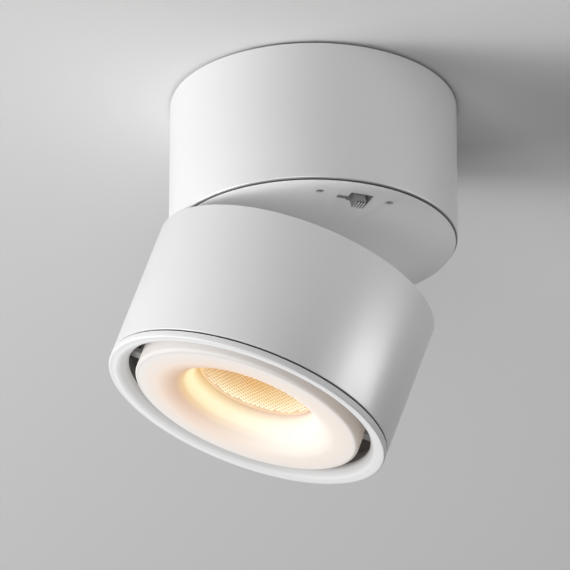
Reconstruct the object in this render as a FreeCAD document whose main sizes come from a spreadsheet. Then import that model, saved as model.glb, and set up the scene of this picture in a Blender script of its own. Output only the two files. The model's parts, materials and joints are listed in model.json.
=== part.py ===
import FreeCAD, Part

# A surface-mounted ceiling spotlight: a drum-shaped base holds the driver, and
# a lamp head of the same width folds out of it on a hinge at the rim.
#
# Frame: millimetres, +Z up. The origin is the centre of the face that lies on
# the ceiling, so the whole fixture hangs below z = 0. The hinge's side is -X.
# The head is shown folded out by its tilt, and the base's drum turns about Z.

import math
import os

import Sketcher
from FreeCAD import Placement, Rotation, Vector

# Driving dimensions, in millimetres and degrees. Depths run down from the
# ceiling, and the head's levels run down from its own top face.
SIZES = {
    # Base drum
    "drum_radius": 50.0,
    "drum_depth": 52.0,
    "ceiling_gap": 0.8,
    "drum_wall": 1.2,
    "lip_bevel": 0.9,
    "flange_thick": 2.0,
    "flange_lap": 10.0,
    # Ceiling bracket and what it carries
    "bracket_inset": 6.0,
    "bracket_thick": 1.5,
    "flange_gap": 0.2,
    "slot_inset": 14.0,
    "slot_length": 12.0,
    "slot_half_width": 2.5,
    "entry_radius": 5.0,
    "grommet_wall": 3.9,
    "grommet_brim": 2.1,
    "grommet_brim_thick": 1.5,
    "stud_inset": 3.5,
    "stud_radius": 1.6,
    "stud_head_radius": 3.2,
    "stud_head_height": 1.2,
    "stud_play": 0.3,
    "keyhole_shift": 12.5,
    "earth_inset": 6.0,
    # Chassis, its posts and the turning bearing
    "turning_room": 16.0,
    "chassis_thick": 2.0,
    "side_gap": 0.4,
    "post_inset": 5.8,
    "post_radius": 3.2,
    "thread_depth": 8.0,
    "bush_wall": 2.95,
    "bush_brim": 3.0,
    "bush_brim_thick": 1.5,
    "running_fit": 0.05,
    "stop_gap": 3.0,
    "stop_pin_radius": 1.25,
    "stop_pin_drop": 7.5,
    # Driver and terminals on the chassis
    "driver_length": 48.0,
    "driver_side_gap": 2.5,
    "driver_inner_gap": 2.3,
    "driver_drop": 13.0,
    "driver_wall": 1.5,
    "ledge_width": 2.0,
    "ledge_height": 3.5,
    "board_thick": 1.6,
    "board_gap": 0.5,
    "component_gap": 4.5,
    "capacitor_end_gap": 4.0,
    "transformer_headroom": 6.0,
    "capacitor_radius": 4.0,
    "capacitor_headroom": 2.4,
    "driver_screw_inset": 8.0,
    "terminal_length": 30.0,
    "terminal_width": 16.0,
    "terminal_height": 14.0,
    "pole_spacing": 9.0,
    "wire_hole_radius": 2.0,
    "well_radius": 2.3,
    "well_depth": 5.0,
    # Turning plate and its hollow spindle
    "plate_inset": 0.8,
    "plate_proud": 0.7,
    "plate_thick": 2.0,
    "plate_bevel": 1.4,
    "spindle_radius": 8.0,
    "spindle_wall": 2.5,
    "shoulder_step": 4.0,
    "foot_brim": 5.0,
    "foot_thick": 2.0,
    "thrust_gap": 0.1,
    "washer_thick": 1.0,
    "spring_inset": 1.0,
    "spring_rise": 0.7,
    "spring_thick": 0.5,
    "nut_inset": 1.3,
    "nut_height": 4.0,
    "spindle_end": 1.2,
    "stop_arm_overhang": 2.0,
    "stop_arm_half_width": 1.4,
    "stop_arm_height": 3.0,
    # Hinge between the plate and the head
    "pivot_inset": 5.8,
    "pivot_rise": 8.6,
    "eye_radius": 3.0,
    "pin_radius": 1.5,
    "pin_head_radius": 2.4,
    "pin_head_height": 0.9,
    "arm_half_width": 6.0,
    "arm_half_thick": 1.5,
    "arm_gap": 0.83,
    "arm_foot_length": 11.8,
    "arm_foot_thick": 2.4,
    "arm_screw_inset": 6.0,
    "arm_screw_half_spacing": 3.2,
    "friction_washer_thick": 0.6,
    "ear_thick": 1.6,
    "ear_end_height": 2.9,
    "bracket_sheet": 1.6,
    "bracket_tail": 3.0,
    "wing_start": 6.0,
    "wing_width": 7.0,
    "notch_gap": 0.9,
    # Selector switch behind the plate's window
    "switch_inset": 10.5,
    "switch_angle": -68.65,
    "switch_play": 0.3,
    "window_half_length": 4.0,
    "window_half_width": 3.0,
    "window_shift": 1.7,
    "index_slot_length": 3.7,
    "index_slot_half_width": 1.1,
    "index_slot_shift": 1.2,
    "switch_screw_inset": 2.85,
    "switch_recess_depth": 1.2,
    "switch_flange_half_length": 15.5,
    "switch_flange_half_width": 5.5,
    "switch_flange_thick": 1.0,
    "switch_box_half_length": 9.0,
    "switch_box_half_width": 5.0,
    "switch_box_height": 5.7,
    "switch_end_wall": 1.5,
    "switch_side_wall": 0.7,
    "cavity_depth": 1.5,
    "slider_gap": 0.1,
    "slider_thick": 1.2,
    "knob_half_length": 2.0,
    "knob_side_gap": 0.7,
    "knob_end_gap": 0.2,
    "knob_rest_gap": 1.1,
    "knob_reach": 3.0,
    "knob_lean": 0.95,
    "knob_swing_gap": 0.9,
    "knob_tip_gap": 0.4,
    "rib_pitch": 0.8,
    "rib_groove": 0.4,
    # Lamp head
    "head_tilt": 19.4,
    "head_length": 49.2,
    "head_wall": 2.0,
    "head_lip_bevel": 1.4,
    "head_top_thick": 4.0,
    "closed_gap": 0.3,
    "sweep_gap": 0.35,
    "relief_half_length": 15.5,
    "lead_hole_radius": 3.0,
    "lead_grommet_wall": 1.5,
    "lead_grommet_brim_thick": 1.4,
    # Trim ring round the lamp's mouth
    "shadow_line": 0.66,
    "ring_height": 3.0,
    "ring_bevel": 0.5,
    "ring_lip_width": 2.7,
    "ring_width": 6.1,
    "ring_slope": 2.9,
    "ring_ledge": 1.0,
    "skirt_thick": 1.5,
    "skirt_length": 6.2,
    # White inner disc with its bell mouth
    "ring_gap": 3.5,
    "disc_wall": 1.6,
    "rim_rounding": 1.3,
    "face_width": 7.9,
    "bell_radius": 11.0,
    "throat_rise": 2.6,
    # Heat sink, light source and lens
    "sink_overhang": 0.6,
    "sink_base": 5.0,
    "fin_gap": 4.0,
    "fin_thick": 1.4,
    "fin_count": 24,
    "boss_inset": 11.0,
    "boss_radius": 4.0,
    "led_board_radius": 18.0,
    "led_board_thick": 1.5,
    "led_screw_inset": 2.5,
    "emitter_radius": 6.5,
    "emitter_thick": 0.8,
    "cup_neck_radius": 7.5,
    "cup_wall": 1.1,
    "cup_length": 5.1,
    "cup_inset": 1.5,
    "lens_gap": 0.3,
    "lens_rise": 2.6,
    "lens_edge": 2.0,
    "lens_bevel": 1.0,
    # Clips that bridge the gap between ring and disc
    "clip_rise": 3.2,
    "clip_thick": 1.5,
    "clip_half_width": 2.5,
    "clip_tail": 7.0,
    "clip_leaf": 0.8,
    "clip_angle": 5.0,
    # Screws, by shank and head
    "small_shank": 1.2,
    "small_head": 2.1,
    "small_head_height": 1.2,
    "tiny_shank": 0.75,
    "tiny_head": 1.35,
    "tiny_head_height": 0.9,
    "main_shank": 1.45,
    "main_head": 2.8,
    "main_head_height": 1.5,
    "hole_play": 0.15,
    "blind_depth": 1.2,
    "overrun": 2.0,
}

# The hexagonal socket as shares of its screw's head
SOCKET_SHARE = 0.5
SOCKET_DEPTH_SHARE = 0.6

# Studs, posts, foot screws and bosses come in threes
FIXINGS = 3

# How far across the room between the nut and the post the terminal block lies
TERMINAL_PLACE_SHARE = 0.66

# A length below this counts as none, and a cut that removes less has missed
NOTHING = 1e-6


class Measure:
    """A length or an angle, with the formula over the sheet's cells that gives it."""

    def __init__(self, value, formula):
        self.value = value
        self.formula = formula

    def __add__(self, other):
        other = measure(other)
        return Measure(self.value + other.value, f"({self.formula} + {other.formula})")

    def __sub__(self, other):
        other = measure(other)
        return Measure(self.value - other.value, f"({self.formula} - {other.formula})")

    def __mul__(self, other):
        other = measure(other)
        return Measure(self.value * other.value, f"({self.formula} * {other.formula})")

    def __truediv__(self, other):
        other = measure(other)
        return Measure(self.value / other.value, f"({self.formula} / {other.formula})")

    def __neg__(self):
        return Measure(-self.value, f"(-1 * {self.formula})")


def measure(number):
    """Wraps a plain number, and leaves a Measure as it is."""
    if isinstance(number, Measure):
        return number
    return Measure(float(number), repr(float(number)))


def write_sheet():
    """Fills a sheet with the driving dimensions, one cell each."""
    cells = doc.addObject("Spreadsheet::Sheet", "Sizes")
    for row, (name, value) in enumerate(SIZES.items(), start=1):
        cells.set(f"A{row}", name)
        cells.set(f"B{row}", str(value))
        cells.setAlias(f"B{row}", name)
    doc.recompute()
    return cells


class Named:
    """The sheet's cells as Measures, read by their names."""

    def __getattr__(self, name):
        return Measure(float(sheet.get(name)), f"Sizes.{name}")


doc = FreeCAD.newDocument("spotlight")
sheet = write_sheet()
s = Named()
ZERO = measure(0)
nodes = []


def cosine(length, angle):
    """The share of a length that runs along X at an angle in degrees."""
    angle = measure(angle)
    value = length.value * math.cos(math.radians(angle.value))
    return Measure(value, f"({length.formula} * cos({angle.formula} * 1 deg))")


def sine(length, angle):
    """The share of a length that runs along Y at an angle in degrees."""
    angle = measure(angle)
    value = length.value * math.sin(math.radians(angle.value))
    return Measure(value, f"({length.formula} * sin({angle.formula} * 1 deg))")


def around(radius, count, first=0):
    """Places spread evenly on a circle."""
    angles = [measure(first) + 360 * index / count for index in range(count)]
    return [(cosine(radius, angle), sine(radius, angle)) for angle in angles]


# Sketches and features


def new_body(label):
    """A body whose label is its node's name."""
    body = doc.addObject("PartDesign::Body", label)
    body.Label = label
    nodes.append(body)
    return body


def sketch_on(body, plane, level=None):
    """A sketch on one of the body's own planes, moved along its normal by a level."""
    sketch = body.newObject("Sketcher::SketchObject", body.Label + "_sketch")
    for feature in body.Origin.OriginFeatures:
        if feature.Role == plane:
            sketch.AttachmentSupport = [(feature, "")]
    sketch.MapMode = "FlatFace"
    if level is not None:
        sketch.AttachmentOffset = Placement(Vector(0, 0, level.value), Rotation())
        sketch.setExpression("AttachmentOffset.Base.z", level.formula)
    return sketch


def hold_point(sketch, edge, end, place):
    """Fixes a point of the sketch by its distances from the origin."""
    for kind, axis, distance in (("DistanceX", -2, place[0]), ("DistanceY", -1, place[1])):
        if abs(distance.value) < NOTHING:
            sketch.addConstraint(Sketcher.Constraint("PointOnObject", edge, end, axis))
        elif distance.value > 0:
            index = sketch.addConstraint(Sketcher.Constraint(kind, -1, 1, edge, end, distance.value))
            sketch.setExpression(f"Constraints[{index}]", distance.formula)
        else:
            index = sketch.addConstraint(Sketcher.Constraint(kind, edge, end, -1, 1, -distance.value))
            sketch.setExpression(f"Constraints[{index}]", (-distance).formula)


def flat(place):
    """A place as a plain vector in the sketch's plane."""
    return Vector(place[0].value, place[1].value, 0)


def hold_arc_centre(sketch, edge, centre, chord):
    """Fixes the one freedom that an arc has between two fixed ends."""
    if abs(chord.y) > abs(chord.x):
        kind, distance = "DistanceX", centre[0]
    else:
        kind, distance = "DistanceY", centre[1]
    if distance.value > 0:
        index = sketch.addConstraint(Sketcher.Constraint(kind, -1, 1, edge, 3, distance.value))
        sketch.setExpression(f"Constraints[{index}]", distance.formula)
    else:
        index = sketch.addConstraint(Sketcher.Constraint(kind, edge, 3, -1, 1, -distance.value))
        sketch.setExpression(f"Constraints[{index}]", (-distance).formula)


def outline(sketch, corners):
    """Draws a closed outline; a corner's third item is the centre of the arc that leaves it."""
    first = sketch.GeometryCount
    count = len(corners)
    ends = []
    for index, corner in enumerate(corners):
        start = flat(corner)
        finish = flat(corners[(index + 1) % count])
        ends.append((1, 2))
        if len(corner) == 3:
            centre = flat(corner[2])
            towards = (start - centre) + (finish - centre)
            middle = centre + towards.normalize() * (start - centre).Length
            if (start - centre).cross(finish - centre).z < 0:
                start, finish = finish, start
                ends[index] = (2, 1)
            sketch.addGeometry(Part.Arc(start, middle, finish), False)
        else:
            sketch.addGeometry(Part.LineSegment(start, finish), False)
    for index, corner in enumerate(corners):
        edge = first + index
        following = (index + 1) % count
        far_end = ends[index][1]
        near_end = ends[following][0]
        joined = Sketcher.Constraint("Coincident", edge, far_end, first + following, near_end)
        sketch.addConstraint(joined)
        hold_point(sketch, edge, ends[index][0], corner)
        if len(corner) == 3:
            chord = flat(corners[following]) - flat(corner)
            hold_arc_centre(sketch, edge, corner[2], chord)


def circles(sketch, places, radius):
    """Draws circles of one radius at the places given."""
    for place in places:
        circle = Part.Circle(flat(place), Vector(0, 0, 1), radius.value)
        edge = sketch.addGeometry(circle, False)
        hold_point(sketch, edge, 3, place)
        index = sketch.addConstraint(Sketcher.Constraint("Radius", edge, radius.value))
        sketch.setExpression(f"Constraints[{index}]", radius.formula)


def revolve(body, corners):
    """Turns an outline in the XZ plane round Z."""
    sketch = sketch_on(body, "XZ_Plane")
    outline(sketch, corners)
    turn = body.newObject("PartDesign::Revolution", body.Label + "_turn")
    turn.Profile = sketch
    turn.ReferenceAxis = (sketch, ["V_Axis"])
    turn.Angle = 360
    return turn


def extrude(body, kind, sketch, length, middle=False):
    """A pad or a pocket of a sketch; middle spreads it to both sides of the sketch."""
    feature = body.newObject("PartDesign::" + kind, body.Label + "_" + kind.lower())
    feature.Profile = sketch
    feature.Length = length.value
    feature.setExpression("Length", length.formula)
    if middle:
        feature.SideType = "Symmetric"
    return feature


def rectangle(low_x, high_x, low_y, high_y):
    """The corners of an upright rectangle."""
    return [(low_x, low_y), (high_x, low_y), (high_x, high_y), (low_x, high_y)]


def pad_up(body, level, corners, height):
    """Adds an upright prism that stands on a level."""
    sketch = sketch_on(body, "XY_Plane", level)
    outline(sketch, corners)
    return extrude(body, "Pad", sketch, height)


def cut_down(body, level, corners, depth):
    """Cuts an upright prism down from a level."""
    sketch = sketch_on(body, "XY_Plane", level)
    outline(sketch, corners)
    return extrude(body, "Pocket", sketch, depth)


def drill_down(body, level, places, radius, depth):
    """Cuts round holes down from a level."""
    sketch = sketch_on(body, "XY_Plane", level)
    circles(sketch, places, radius)
    return extrude(body, "Pocket", sketch, depth)


def turned(label, corners):
    """A round piece as a node of its own."""
    body = new_body(label)
    revolve(body, corners)
    return body


def washer_corners(inner, outer, low, high):
    """The section of a plain ring."""
    return [(inner, low), (outer, low), (outer, high), (inner, high)]


# Solids for repeated fasteners


def solid_ring(inner, outer, low, high):
    """A plain ring or, where inner is zero, a disc between two levels."""
    disc = Part.makeCylinder(outer.value, high.value - low.value, Vector(0, 0, low.value))
    if inner.value == 0:
        return disc
    return disc.cut(Part.makeCylinder(inner.value, high.value - low.value, Vector(0, 0, low.value)))


def hexagon(radius, low, high):
    """An upright hexagonal prism."""
    corners = [Vector(radius * math.cos(math.radians(60 * k)), radius * math.sin(math.radians(60 * k)), low)
               for k in range(7)]
    return Part.Face(Part.makePolygon(corners)).extrude(Vector(0, 0, high - low))


def screw(shank, head, head_height, length):
    """A socket screw whose head hangs below z = 0 and whose shank stands above it."""
    shape = solid_ring(ZERO, head, -head_height, ZERO).fuse(solid_ring(ZERO, shank, ZERO, length))
    socket_top = -head_height.value * (1 - SOCKET_DEPTH_SHARE)
    shape = shape.cut(hexagon(head.value * SOCKET_SHARE, -head_height.value, socket_top))
    return shape.removeSplitter()


def group(label, shape, places, level, upside_down=False):
    """Copies of one solid at several places, as one node."""
    copies = []
    for place in places:
        turn = Rotation(Vector(1, 0, 0), 180 if upside_down else 0)
        copy = shape.copy()
        lifted = Placement(Vector(place[0].value, place[1].value, level.value), turn)
        copy.Placement = lifted.multiply(shape.Placement)
        copies.append(copy)
    feature = doc.addObject("Part::Feature", label)
    feature.Label = label
    feature.Shape = Part.makeCompound(copies)
    nodes.append(feature)
    return feature


def reach_beside(radius, half_chord):
    """How far out of a circle's middle a chord of that half length lies."""
    value = math.sqrt(radius.value ** 2 - half_chord.value ** 2)
    return Measure(value, f"sqrt({radius.formula}^2 - {half_chord.formula}^2)")


def reach_between(across, along):
    """The straight distance that two lengths at right angles give."""
    value = math.hypot(across.value, along.value)
    return Measure(value, f"sqrt({across.formula}^2 + {along.formula}^2)")


# Base: sizes and levels that several pieces share

bracket_radius = s.drum_radius - s.bracket_inset
stud_circle = bracket_radius - s.stud_inset
slot_place = bracket_radius - s.slot_inset
flange_bore = bracket_radius - s.flange_lap
flange_top = -(s.bracket_thick + s.flange_gap)
flange_bottom = flange_top - s.flange_thick
earth_place = flange_bore - s.earth_inset
drum_bore = s.drum_radius - s.drum_wall
chassis_radius = drum_bore - s.side_gap
chassis_top = -(s.drum_depth - s.turning_room)
chassis_bottom = chassis_top - s.chassis_thick
post_circle = drum_bore - s.post_inset
post_angles = 30
stud_angles = 90

# Bearing and spindle

bush_radius = s.spindle_radius + s.running_fit + s.bush_wall
brim_radius = bush_radius + s.bush_brim
spindle_clear = s.spindle_radius + s.running_fit
spindle_bore = s.spindle_radius - s.spindle_wall
shoulder_radius = s.spindle_radius + s.shoulder_step
foot_radius = shoulder_radius + s.foot_brim
foot_screw_circle = (shoulder_radius + foot_radius) / 2
foot_screw_angles = 60
washer_low = chassis_top + s.thrust_gap
washer_high = washer_low + s.washer_thick
spring_high = washer_high + s.spring_rise + s.spring_thick
nut_radius = brim_radius - s.nut_inset
nut_top = spring_high + s.nut_height
stop_circle = brim_radius + s.stop_gap

# Driver and terminals

driver_half = s.driver_length / 2
driver_near = nut_radius + s.driver_inner_gap
driver_far = reach_beside(drum_bore, driver_half) - s.driver_side_gap
driver_height = -chassis_top - s.driver_drop
board_bottom = chassis_top + s.driver_wall + s.ledge_height
board_top = board_bottom + s.board_thick
board_middle = (driver_near + driver_far) / 2
case_top = chassis_top + driver_height
transformer_half_width = (driver_far - driver_near) / 2 - s.driver_wall - s.component_gap
capacitor_place = driver_half - s.driver_wall - s.capacitor_end_gap - s.capacitor_radius
transformer_half_length = capacitor_place - s.capacitor_radius * 2
terminal_room = post_circle - s.post_radius - nut_radius - s.terminal_width
terminal_near = -(nut_radius + terminal_room * TERMINAL_PLACE_SHARE)

# Turning plate and hinge

plate_radius = s.drum_radius - s.plate_inset
plate_bottom = -(s.drum_depth + s.plate_proud)
plate_top = plate_bottom + s.plate_thick
pivot_x = -(s.drum_radius - s.pivot_inset)
pivot_z = -(s.drum_depth - s.pivot_rise)
lip_reach = reach_between(s.pivot_inset, s.pivot_rise)
arm_inner = pivot_x + lip_reach + s.arm_gap
arm_outer = arm_inner + s.arm_half_thick * 2
arm_foot_end = arm_outer + s.arm_foot_length
ear_inner = s.arm_half_width + s.friction_washer_thick + s.running_fit * 2
ear_outer = ear_inner + s.ear_thick
notch_end = arm_outer + s.notch_gap
wing_start = pivot_x + s.wing_start
bracket_end = notch_end + s.bracket_tail

# Selector switch

switch_circle = plate_radius - s.switch_inset
cavity_half_length = s.switch_box_half_length - s.switch_end_wall
cavity_half_width = s.switch_box_half_width - s.switch_side_wall
window_low = s.window_shift - s.window_half_length
window_high = s.window_shift + s.window_half_length
knob_travel = (s.window_half_length - s.knob_half_length - s.knob_end_gap) * 2
knob_rest = window_low + s.knob_rest_gap + s.knob_half_length
knob_half_width = s.window_half_width - s.knob_side_gap
knob_tip = plate_bottom - s.knob_reach
slider_half_length = cavity_half_length - knob_travel / 2 - s.switch_play
slider_half_width = cavity_half_width - s.switch_play
travel_to_rest = s.window_shift - knob_rest

# Lamp head, in its own frame: the origin is the middle of its top face

pivot_up = s.plate_proud + s.closed_gap + s.pivot_rise
head_bore = s.drum_radius - s.head_wall
skirt_outside = head_bore - s.side_gap
skirt_inside = skirt_outside - s.skirt_thick
ring_face = -(s.head_length + s.ring_height)
ring_throat = ring_face + s.ring_slope
disc_radius = s.drum_radius - s.ring_width - s.ring_gap
mouth_radius = disc_radius - s.face_width
throat_radius = mouth_radius - s.bell_radius
bell_level = ring_face + s.bell_radius
lens_radius = throat_radius - s.lens_gap
lens_top = bell_level + s.lens_rise
lens_low = lens_top - s.lens_edge - s.lens_bevel
board_low = lens_top + s.cup_length
sink_low = board_low + s.led_board_thick
sink_radius = disc_radius + s.sink_overhang
sink_base_top = sink_low + s.sink_base
boss_circle = sink_radius - s.boss_inset
led_screw_circle = s.led_board_radius - s.led_screw_inset
lead_brim_radius = s.lead_hole_radius + s.lead_grommet_wall * 2


# Base


def mounting_bracket():
    """The steel disc that is screwed to the ceiling."""
    body = new_body("mounting_bracket")
    grommet_hole = s.entry_radius + s.grommet_wall
    revolve(body, washer_corners(grommet_hole, bracket_radius, -s.bracket_thick, ZERO))
    half_run = s.slot_length / 2 - s.slot_half_width
    for side in (-1, 1):
        centre = slot_place * side
        low = centre - half_run
        high = centre + half_run
        wide = s.slot_half_width
        sketch = sketch_on(body, "XY_Plane", ZERO)
        outline(sketch, [
            (low, -wide),
            (high, -wide, (high, ZERO)),
            (high + wide, ZERO, (high, ZERO)),
            (high, wide),
            (low, wide, (low, ZERO)),
            (low - wide, ZERO, (low, ZERO)),
        ])
        extrude(body, "Pocket", sketch, s.bracket_thick)
    studs = around(stud_circle, FIXINGS, stud_angles)
    drill_down(body, ZERO, studs, s.stud_radius, s.bracket_thick)
    drill_down(body, ZERO, [(ZERO, earth_place)], s.main_shank + s.hole_play, s.bracket_thick)


def cable_grommet():
    """The rubber sleeve in the bracket's cable entry."""
    neck = s.entry_radius + s.grommet_wall
    brim = neck + s.grommet_brim
    low = -(s.bracket_thick + s.grommet_brim_thick)
    turned("cable_grommet", [
        (s.entry_radius, ZERO),
        (neck, ZERO),
        (neck, -s.bracket_thick),
        (brim, -s.bracket_thick),
        (brim, low),
        (s.entry_radius, low),
    ])


def bayonet_studs():
    """Headed studs that the drum's keyholes hook on."""
    neck_low = flange_bottom - s.stud_play
    shank = solid_ring(ZERO, s.stud_radius, neck_low, ZERO)
    head = solid_ring(ZERO, s.stud_head_radius, neck_low - s.stud_head_height, neck_low)
    group("bayonet_studs", shank.fuse(head), around(stud_circle, FIXINGS, stud_angles), ZERO)


def earth_screw():
    """The earth terminal's screw, up into the bracket."""
    shape = screw(s.main_shank, s.main_head, s.main_head_height, s.bracket_thick)
    group("earth_screw", shape, [(ZERO, earth_place)], -s.bracket_thick)


def base_shell():
    """The drum's wall with its inner flange."""
    body = new_body("base_shell")
    lip = -s.drum_depth
    revolve(body, [
        (s.drum_radius, -s.ceiling_gap),
        (s.drum_radius, lip),
        (drum_bore + s.lip_bevel, lip),
        (drum_bore, lip + s.lip_bevel),
        (drum_bore, flange_bottom),
        (flange_bore, flange_bottom),
        (flange_bore, flange_top),
        (drum_bore, flange_top),
        (drum_bore, -s.ceiling_gap),
    ])
    narrow = s.stud_radius + s.stud_play
    wide = s.stud_head_radius + s.stud_play
    studs = around(stud_circle, FIXINGS, stud_angles)
    mouths = around(stud_circle, FIXINGS, s.keyhole_shift + stud_angles)
    sides = around(narrow, FIXINGS, s.keyhole_shift / 2 + stud_angles)
    drill_down(body, flange_top, studs, narrow, s.flange_thick)
    drill_down(body, flange_top, mouths, wide, s.flange_thick)
    for stud, mouth, side in zip(studs, mouths, sides):
        cut_down(body, flange_top, [
            (stud[0] + side[0], stud[1] + side[1]),
            (mouth[0] + side[0], mouth[1] + side[1]),
            (mouth[0] - side[0], mouth[1] - side[1]),
            (stud[0] - side[0], stud[1] - side[1]),
        ], s.flange_thick)


def chassis_posts():
    """Posts that hang the chassis from the drum's flange."""
    length = flange_bottom - chassis_top
    post = solid_ring(ZERO, s.post_radius, ZERO, length)
    post = post.cut(solid_ring(ZERO, s.main_shank, ZERO, s.thread_depth))
    group("chassis_posts", post, around(post_circle, FIXINGS, post_angles), chassis_top)


def driver_screw_places():
    """Where the driver is screwed to the chassis."""
    place = driver_half - s.driver_screw_inset
    return [(place * side, board_middle) for side in (-1, 1)]


def chassis_plate():
    """The fixed plate that carries the driver and the turning bearing."""
    body = new_body("chassis_plate")
    bush_hole = bush_radius + s.running_fit
    revolve(body, washer_corners(bush_hole, chassis_radius, chassis_bottom, chassis_top))
    posts = around(post_circle, FIXINGS, post_angles)
    drill_down(body, chassis_top, posts, s.main_shank + s.hole_play, s.chassis_thick)
    drill_down(body, chassis_top, driver_screw_places(), s.small_shank + s.hole_play, s.chassis_thick)
    pin_hole = s.stop_pin_radius + s.running_fit
    drill_down(body, chassis_top, [(stop_circle, ZERO)], pin_hole, s.chassis_thick)


def chassis_screws():
    """Screws up through the chassis into its posts."""
    shape = screw(s.main_shank, s.main_head, s.main_head_height, s.thread_depth)
    group("chassis_screws", shape, around(post_circle, FIXINGS, post_angles), chassis_bottom)


def bearing_bush():
    """The plastic bush that the spindle turns in."""
    low = chassis_bottom - s.bush_brim_thick
    turned("bearing_bush", [
        (spindle_clear, chassis_top),
        (bush_radius, chassis_top),
        (bush_radius, chassis_bottom),
        (brim_radius, chassis_bottom),
        (brim_radius, low),
        (spindle_clear, low),
    ])


def stop_pin():
    """The pin that ends the drum's turn against the spindle's arm."""
    low = chassis_bottom - s.stop_pin_drop
    shape = solid_ring(ZERO, s.stop_pin_radius, low, chassis_top)
    group("stop_pin", shape, [(stop_circle, ZERO)], ZERO)


def driver_case():
    """The driver's open box, with a ledge at each end for its board."""
    body = new_body("driver_case")
    pad_up(body, chassis_top, rectangle(-driver_half, driver_half, driver_near, driver_far), driver_height)
    inner = driver_half - s.driver_wall
    near = driver_near + s.driver_wall
    far = driver_far - s.driver_wall
    depth = driver_height - s.driver_wall
    cut_down(body, case_top, rectangle(-inner, inner, near, far), depth)
    floor = chassis_top + s.driver_wall
    tip = inner - s.ledge_width
    pad_up(body, floor, rectangle(-inner, -tip, near, far), s.ledge_height)
    pad_up(body, floor, rectangle(tip, inner, near, far), s.ledge_height)
    drill_down(body, floor, driver_screw_places(), s.small_shank, s.driver_wall)


def driver_lid():
    """The lid of the driver's box."""
    body = new_body("driver_lid")
    corners = rectangle(-driver_half, driver_half, driver_near, driver_far)
    pad_up(body, case_top, corners, s.driver_wall)


def driver_board():
    """The driver's circuit board, on the ledges."""
    body = new_body("driver_board")
    inset = s.driver_wall + s.board_gap
    half = driver_half - inset
    corners = rectangle(-half, half, driver_near + inset, driver_far - inset)
    pad_up(body, board_bottom, corners, s.board_thick)


def driver_transformer():
    """The transformer on the board."""
    body = new_body("driver_transformer")
    near = board_middle - transformer_half_width
    far = board_middle + transformer_half_width
    corners = rectangle(-transformer_half_length, transformer_half_length, near, far)
    pad_up(body, board_top, corners, case_top - board_top - s.transformer_headroom)


def driver_capacitors():
    """A capacitor at each side of the transformer."""
    length = case_top - board_top - s.capacitor_headroom
    shape = solid_ring(ZERO, s.capacitor_radius, ZERO, length)
    places = [(capacitor_place * side, board_middle) for side in (-1, 1)]
    group("driver_capacitors", shape, places, board_top)


def driver_screws():
    """Screws up through the chassis into the driver's floor."""
    length = s.chassis_thick + s.driver_wall
    shape = screw(s.small_shank, s.small_head, s.small_head_height, length)
    group("driver_screws", shape, driver_screw_places(), chassis_bottom)


def terminal_places():
    """The poles of the terminal block."""
    middle = terminal_near - s.terminal_width / 2
    return [(s.pole_spacing * index, middle) for index in (-1, 0, 1)]


def terminal_block():
    """The three-pole block for the supply's wires."""
    body = new_body("terminal_block")
    half = s.terminal_length / 2
    far = terminal_near - s.terminal_width
    pad_up(body, chassis_top, rectangle(-half, half, far, terminal_near), s.terminal_height)
    wire_level = chassis_top + (s.terminal_height - s.well_depth) / 2
    sketch = sketch_on(body, "XZ_Plane", -terminal_near)
    circles(sketch, [(place[0], wire_level) for place in terminal_places()], s.wire_hole_radius)
    extrude(body, "Pocket", sketch, s.terminal_width).Reversed = True
    top = chassis_top + s.terminal_height
    drill_down(body, top, terminal_places(), s.well_radius, s.well_depth)


def terminal_screws():
    """A clamping screw in each well of the block."""
    shape = solid_ring(ZERO, s.well_radius - s.running_fit, ZERO, s.well_depth / 2)
    floor = chassis_top + s.terminal_height - s.well_depth
    group("terminal_screws", shape, terminal_places(), floor)


# Turning plate with its spindle


def on_switch(along, inward):
    """A place in the plate's frame, from the middle of the switch along it and towards the axis."""
    angle = s.switch_angle
    out = switch_circle - inward
    return (
        cosine(out, angle) - sine(along, angle),
        sine(out, angle) + cosine(along, angle),
    )


def switch_rectangle(low, high, outer, inner):
    """A rectangle that lies along the switch."""
    return [on_switch(low, outer), on_switch(high, outer), on_switch(high, inner), on_switch(low, inner)]


def switch_screw_places():
    """Where the selector's two screws go."""
    place = s.switch_flange_half_length - s.switch_screw_inset
    return [on_switch(place * side, ZERO) for side in (-1, 1)]


def hinge_screw_places():
    """Where the hinge's bracket is screwed to the plate."""
    middle = (wing_start + bracket_end) / 2
    return [(middle, (ear_outer + s.wing_width / 2) * side) for side in (-1, 1)]


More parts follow.
